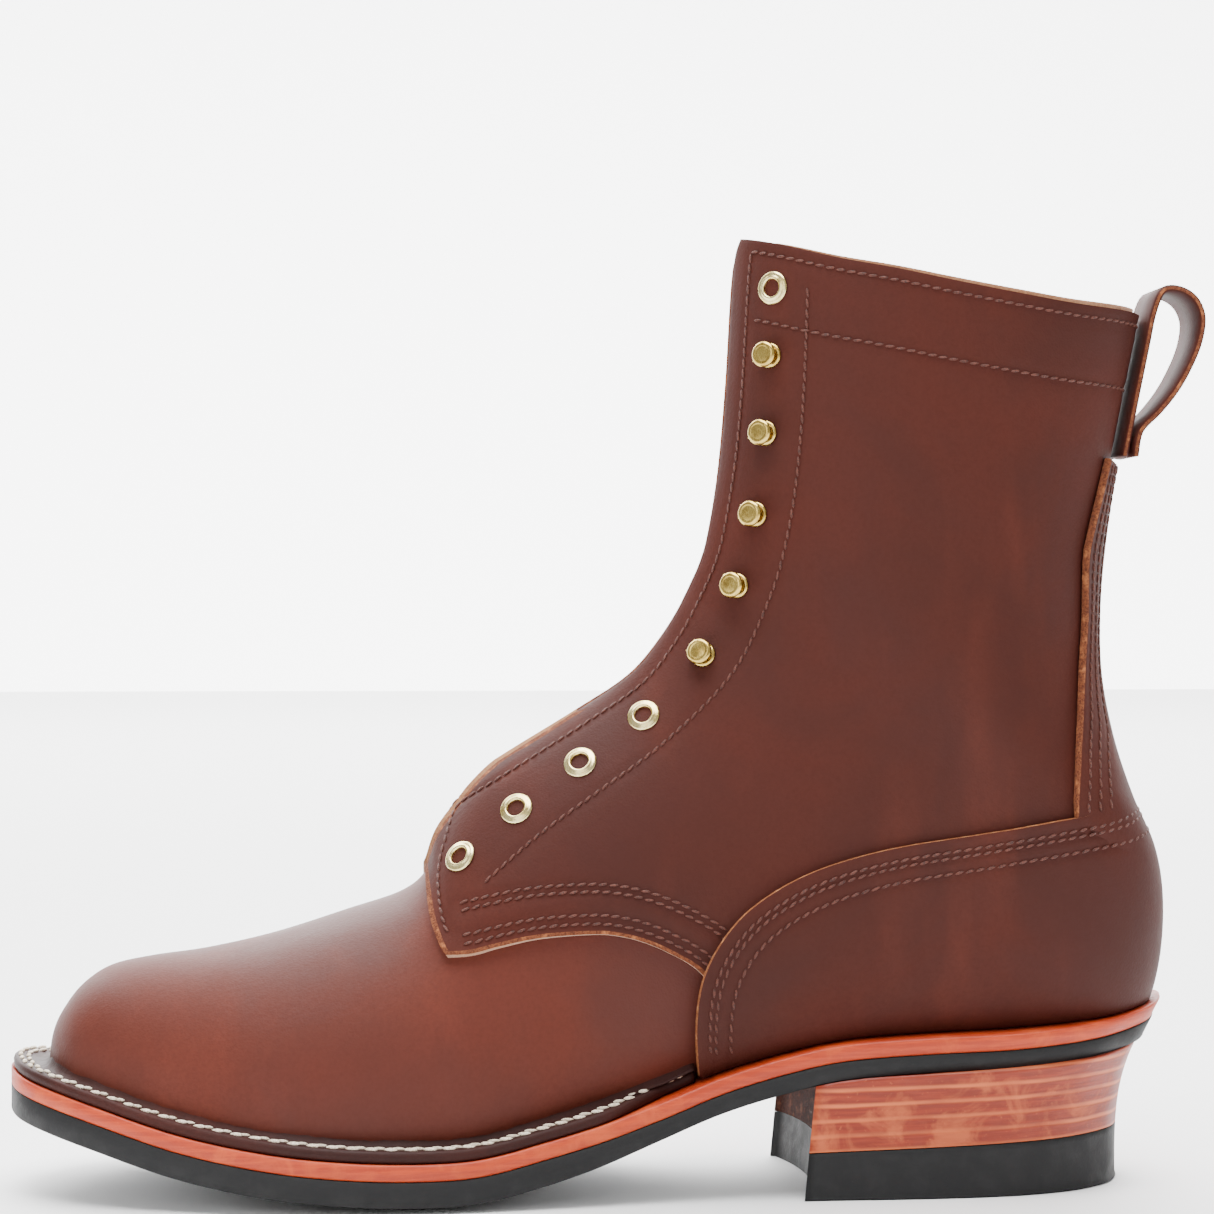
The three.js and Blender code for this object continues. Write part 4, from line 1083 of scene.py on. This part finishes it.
def ringed_piece(name, rings, materials, paint=None):
    """A closed piece through rings, with a map of its length and of its height above the top lift."""
    bm = bridged(rings)
    layer = bm.loops.layers.uv.new("length_and_height")
    for face in bm.faces:
        for loop in face.loops:
            place = loop.vert.co / MM
            loop[layer].uv = ((place.x + 0.6 * place.y) * MM, (place.z - top_lift_top(place.x)) * MM)
    if paint:
        paint(bm)
    return make_object(name, bm, materials)


def heel_taper(x, amount):
    return amount * np.clip((x_at(BREAST_ALONG) - x) / (x_at(BREAST_ALONG) - x_at(0)), 0, 1)


def midsole():
    lower = inset(OUTLINE, heel_taper(OUTLINE[:, 0], HEEL_DRAFT * 0.3))
    return slab("midsole_layer", lower, OUTLINE, lambda x, y: outsole_top(x, y) + 0.05, seat, MIDSOLE,
                0.5)


def outsole():
    upper = inset(OUTLINE, heel_taper(OUTLINE[:, 0], HEEL_DRAFT * 0.32))
    lower = inset(OUTLINE, heel_taper(OUTLINE[:, 0], HEEL_DRAFT * 0.7))
    return slab("outsole_layer", lower, upper, lambda x, y: np.maximum(underside(x, y), 0), outsole_top,
                RUBBER, 0.4)


def heel_ring(share, height_at, steps=34, grow=0.0):
    taper = 1 - share ** HEEL_CURVE
    breast = x_at(BREAST_ALONG) - BREAST_LEAN * share
    turn = np.sin(np.pi / 2 * np.arange(steps + 1) / steps)
    xs = breast + (x_at(0) - breast) * turn
    to_back = (breast - xs) / (breast - x_at(0))
    sides = []
    for side in (1, -1):
        y = sole_half(xs, side) * (1 - HEEL_NARROWING * taper * to_back) + grow
        y[-1] = 0
        sides.append(np.stack([xs + HEEL_DRAFT * (1 + taper) * to_back - grow * to_back, y * side], axis=1))
    dish = np.linspace(-1, 1, 17)[1:-1]
    width = sides[0][0, 1]
    front = np.stack([breast - BREAST_DISH * (1 - dish ** 2), dish * width], axis=1)
    ring = np.vstack([sides[0], sides[1][:-1][::-1], front])
    return [(x, y, float(height_at(x, y))) for x, y in ring]


def top_lift_top(x):
    return TOP_LIFT_HEIGHT - TOP_LIFT_PITCH * x


def paint_breast_shade(bm):
    """The heel's front face gets rough leather, darkened as painted shade for the shadow under the arch."""
    for face in bm.faces:
        if face.normal.x > 0.5:
            face.material_index = 1


def heel_stack():
    split = TOP_LIFT_HEIGHT / HEEL_RISE
    shares = np.linspace(split, 1, 22)
    rings = []
    for share in shares:
        level = (share - split) / (1 - split)
        rings.append(heel_ring(share, lambda x, y, k=level: (
            top_lift_top(x) + 0.05 + (underside(x, y) - 0.05 - top_lift_top(x) - 0.05) * k)))
    return ringed_piece("stacked_heel", rings, (STACK, SHADED_BREAST), paint_breast_shade)


def top_lift():
    split = TOP_LIFT_HEIGHT / HEEL_RISE
    levels = [(0.0, -0.5), (0.0, 0.25), (0.05, 0.15), (0.1, 0)]
    levels += [(level, 0) for level in np.linspace(0.2, 0.97, 9)] + [(1, -0.4)]
    rings = []
    for number, (level, grow) in enumerate(levels):
        rise = 0.0 if number == 0 else max(level, 0.03)
        rings.append(heel_ring(split * level, lambda x, y, k=rise: top_lift_top(x) * k, grow=grow))
    return ringed_piece("top_lift_block", rings, (RUBBER,))


# Stitches
class Stitching:
    """Many copies of one short, round-ended stitch in one mesh."""

    def __init__(self):
        self.whole = bmesh.new()
        self.form = bmesh.new()
        bmesh.ops.create_uvsphere(self.form, u_segments=8, v_segments=5, radius=1)
        self.shape = [vertex.co.copy() for vertex in self.form.verts]
        self.part = bpy.data.meshes.new("one_stitch")

    def add(self, middle, run, normal, length, width, proud=-0.07, slant=0.0):
        along = Vector(run)
        out = Vector(normal).normalized()
        along = (along - out * along.dot(out)).normalized()
        if slant:
            along = Matrix.Rotation(slant, 3, out) @ along
        across = out.cross(along)
        basis = Matrix((along, across, out)).transposed()
        place = (Vector(middle) + out * proud) * MM
        for vertex, form in zip(self.form.verts, self.shape):
            sized = Vector((form.x * length / 2, form.y * width / 2, form.z * width * 0.42)) * MM
            vertex.co = basis @ sized + place
        self.form.to_mesh(self.part)
        self.whole.from_mesh(self.part)

    def finish(self, name, material, slot):
        self.form.free()
        return make_object(name, self.whole, (material,))


def stitch_rows(name, seams, material, slot):
    stitching = Stitching()
    for seam in seams:
        points, normals = on_skin(seam.path, seam.side, seam.offset)
        for i in range(len(points) - 1):
            middle = (points[i] + points[i + 1]) / 2
            stitching.add(middle, points[i + 1] - points[i], normals[i], STITCH_PITCH * 0.95, STITCH_WIDTH,
                          slant=math.radians(STITCH_SLANT))
    return stitching.finish(name, material, slot)


def flange_stitches():
    stitching = Stitching()
    limit = x_at(FLANGE_SEAM_END)
    index = np.arange(len(FLANGE_PATH))
    for depth, shift in FLANGE_SEAMS:
        distance = np.minimum(FLANGE_EDGE + depth, FLANGE_REACH - 0.4)
        bed = flange_place(index, distance, FLANGE_THICKNESS + 0.15 + 0 * distance)
        places = even(bed, FLANGE_PITCH / 2)
        for i in range(2 + shift, len(places) - 1, 2):
            if places[i, 0] < limit:
                continue
            run = places[i + 1] - places[i - 1]
            stitching.add(places[i], run, (0, 0, 1), FLANGE_PITCH * 0.74, FLANGE_STITCH_WIDTH, 0.05,
                          math.radians(FLANGE_STITCH_SLANT))
    return stitching.finish("flange_stitching", CREAM_THREAD, "upper_leather")


# Eyelets and hooks
def fitting_frames():
    """Each fitting's kind, side and place, with its forward direction square to the throat."""
    places = spots(FITTINGS)
    run = unit(np.gradient(places, axis=0))
    frames = []
    for side in (1, -1):
        points, normals = on_skin(places, side, LEATHER)
        for k in range(len(places)):
            normal = Vector(normals[k])
            forward = Vector((-run[k, 1], 0, run[k, 0]))
            forward = (forward - normal * forward.dot(normal)).normalized()
            basis = Matrix((forward, normal.cross(forward), normal)).transposed().to_4x4()
            frames.append((FITTING_KINDS[k], side, Matrix.Translation(Vector(points[k]) * MM) @ basis))
    return frames


def spun(bm, profile, steps=36):
    """A round form from a profile of radii and heights."""
    start = len(bm.verts)
    vertices = [bm.verts.new((radius * MM, 0, height * MM)) for radius, height in profile]
    edges = [bm.edges.new(pair) for pair in zip(vertices, vertices[1:])]
    bmesh.ops.spin(bm, geom=vertices + edges, cent=(0, 0, 0), axis=(0, 0, 1), angle=2 * math.pi, steps=steps,
                   use_merge=True)
    bm.verts.ensure_lookup_table()
    bmesh.ops.remove_doubles(bm, verts=bm.verts[start:], dist=0.005 * MM)


def eyelet_mesh():
    """A barrel through the leather with a rolled lip and a flat rim."""
    bm = bmesh.new()
    spun(bm, [(2.3, -3.4), (2.3, 0.35), (2.42, 0.75), (2.75, 0.98), (3.1, 0.9), (3.35, 0.66), (3.7, 0.62),
              (4.15, 0.5), (4.45, 0.22), (4.5, 0.04), (3.6, 0.02), (2.75, 0.02), (2.6, -0.4), (2.6, -3.4),
              (2.3, -3.4)])
    return bm


def hook_mesh():
    """A round base, a neck on the side away from the throat and a domed cap."""
    bm = bmesh.new()
    spun(bm, [(0, 0.02), (3.3, 0.02), (3.45, 0.3), (3.3, 0.75), (2.9, 1.0), (0, 1.0)])
    spun(bm, [(0, 3.0), (2.9, 3.0), (3.35, 3.2), (3.5, 3.55), (3.35, 3.95), (2.9, 4.3), (2.35, 4.42),
              (2.15, 4.3), (1.9, 4.34), (0, 4.5)])
    arc = [(math.cos(a), math.sin(a)) for a in np.linspace(-math.pi / 2, math.pi / 2, 9)]
    outer = [(-1.6 - 2.5 * c, 2.0 + 1.75 * s) for c, s in arc]
    inner = [(-1.6 - 1.5 * c, 2.0 + 0.95 * s) for c, s in arc][::-1]
    face = bm.faces.new([bm.verts.new((x * MM, -1.9 * MM, z * MM)) for x, z in outer + inner])
    pushed = bmesh.ops.extrude_face_region(bm, geom=[face])
    moved = [item for item in pushed["geom"] if isinstance(item, bmesh.types.BMVert)]
    bmesh.ops.translate(bm, verts=moved, vec=(0, 3.8 * MM, 0))
    return bm


def fittings():
    counts = {}
    for kind, side, matrix in fitting_frames():
        side_name = "outer" if side > 0 else "inner"
        counts[(kind, side)] = counts.get((kind, side), 0) + 1
        node = f"{kind}_{side_name}_{counts[(kind, side)]}"
        bm = eyelet_mesh() if kind == "eyelet" else hook_mesh()
        if kind == "hook":
            bmesh.ops.rotate(bm, verts=bm.verts, cent=(0, 0, 0), matrix=Matrix.Rotation(math.pi, 3, "Z"))
        bmesh.ops.transform(bm, matrix=matrix, verts=bm.verts)
        bmesh.ops.recalc_face_normals(bm, faces=bm.faces)
        piece = make_object("brass_" + node, bm, (BRASS if kind == "eyelet" else HOOK_BRASS,))
        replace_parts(piece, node)


# Pull loop
def loop_path():
    """The strap's middle line in the side view, up the shaft, over and down to its foot."""
    arc = spots(LOOP)
    foot = spots(BACKSTAY)[0, 1] + GAP
    backs = section(np.linspace(18, LAST_ROW, 60))[:, 2:4]
    heights = np.linspace(spots(COLLAR)[-1, 1], foot, 6)
    legs = np.interp(heights, backs[:, 1], backs[:, 0]) - LEATHER
    inner = np.stack([legs - 0.4 - STRAP_THICKNESS, heights], axis=1)
    start = np.array([[legs[-1] - 0.4 - 2 * STRAP_THICKNESS - GAP - 1, foot]])
    return even(curve_through(np.vstack([start, arc, inner]), 8), 1.2)


def strap_paint(bm):
    """The strap's two cut edges show raw leather."""
    for face in bm.faces:
        if abs(face.normal.y) > 0.8:
            face.material_index = 1


def pull_loop():
    path = loop_path()
    run = unit(np.gradient(path, axis=0))
    out = np.stack([-run[:, 1], run[:, 0]], axis=1)
    half_t = STRAP_THICKNESS / 2
    half_w = STRAP_WIDTH / 2
    cut = STRAP_CORNER
    corners = [
        (-half_w, half_t - cut), (-half_w + cut, half_t), (half_w - cut, half_t), (half_w, half_t - cut),
        (half_w, cut - half_t), (half_w - cut, -half_t), (-half_w + cut, -half_t), (-half_w, cut - half_t),
    ]
    rings = []
    for place, direction in zip(path, out):
        rings.append([(place[0] + direction[0] * t, w, place[1] + direction[1] * t) for w, t in corners])
    return ringed_piece("pull_loop_strap", rings, (SHAFT_TONE_AND_SHADE, DARK_EDGE), strap_paint)


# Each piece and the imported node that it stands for
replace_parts(vamp(), "vamp")
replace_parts(quarters(), "quarters")
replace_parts(collar_lining(), "quarters")
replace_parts(flange(), "vamp")
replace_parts(counter(), "counter")
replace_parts(backstay(), "backstay")
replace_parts(tongue(), "tongue")
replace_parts(midsole(), "midsole")
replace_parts(outsole(), "outsole")
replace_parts(heel_stack(), "heel_stack")
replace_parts(top_lift(), "top_lift")
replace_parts(pull_loop(), "pull_loop")
fittings()
stitch_rows("upper_stitching", quarter_seams + counter_seams + backstay_seams, BROWN_THREAD, "upper_leather")
flange_stitches()

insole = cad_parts["insole"]
insole.data.materials.clear()
insole.data.materials.append(INSOLE)


# Studio
CAMERA_PLACE = (0.1571, 0.8535, 0.1556)
CAMERA_YAW = math.radians(4.5)
CAMERA_LENS = 93.35
WORLD_STRENGTH = 0.64
BACKDROP_GLOW = 4.0
BACKDROP_Y = -5
STAGE_SIZE = 6
LIGHTS = (
    # name, place, aim, size, power
    ("overhead", (0.15, 0.15, 1.3), (0.09, 0, 0.1), 1.0, 42),
    ("front", (0.7, 1.3, 0.6), (0.09, 0, 0.1), 0.9, 6),
    ("far_floor", (0.1, -2.4, 1.8), (0.1, -2.4, 0), 3.4, 260),
)


def stage_plane(name, finish, matrix):
    bm = bmesh.new()
    bmesh.ops.create_grid(bm, x_segments=1, y_segments=1, size=STAGE_SIZE, matrix=matrix)
    mesh = bpy.data.meshes.new(name)
    bm.to_mesh(mesh)
    bm.free()
    mesh.materials.append(finish.material)
    plane = bpy.data.objects.new(name, mesh)
    bpy.context.scene.collection.objects.link(plane)


def studio():
    lens = bpy.data.cameras.new("camera")
    lens.lens = CAMERA_LENS
    lens.sensor_width = 36
    camera = bpy.data.objects.new("camera", lens)
    bpy.context.scene.collection.objects.link(camera)
    camera.location = CAMERA_PLACE
    view = Vector((-math.sin(CAMERA_YAW), -math.cos(CAMERA_YAW), 0))
    camera.rotation_euler = view.to_track_quat("-Z", "Y").to_euler()
    bpy.context.scene.camera = camera

    world = bpy.data.worlds.new("studio")
    world.use_nodes = True
    background = world.node_tree.nodes["Background"]
    background.inputs[0].default_value = (1, 1, 1, 1)
    background.inputs[1].default_value = WORLD_STRENGTH
    bpy.context.scene.world = world

    floor_finish = Finish("pale_floor")
    floor_finish.set(Base_Color=(0.95, 0.95, 0.95, 1), Roughness=0.7)
    backdrop_finish = Finish("pale_backdrop")
    backdrop_finish.set(Base_Color=(0.95, 0.95, 0.95, 1), Roughness=0.9, Emission_Color=(1, 1, 1, 1),
                        Emission_Strength=BACKDROP_GLOW)
    upright = Matrix.Translation((0, BACKDROP_Y, 0)) @ Matrix.Rotation(math.pi / 2, 4, "X")
    stage_plane("floor", floor_finish, Matrix.Identity(4))
    stage_plane("backdrop", backdrop_finish, upright)

    for name, place, target, size, power in LIGHTS:
        lamp = bpy.data.lights.new(name, "AREA")
        lamp.size = size
        lamp.energy = power
        light = bpy.data.objects.new(name, lamp)
        light.location = place
        light.rotation_euler = (Vector(target) - Vector(place)).to_track_quat("-Z", "Y").to_euler()
        bpy.context.scene.collection.objects.link(light)


studio()
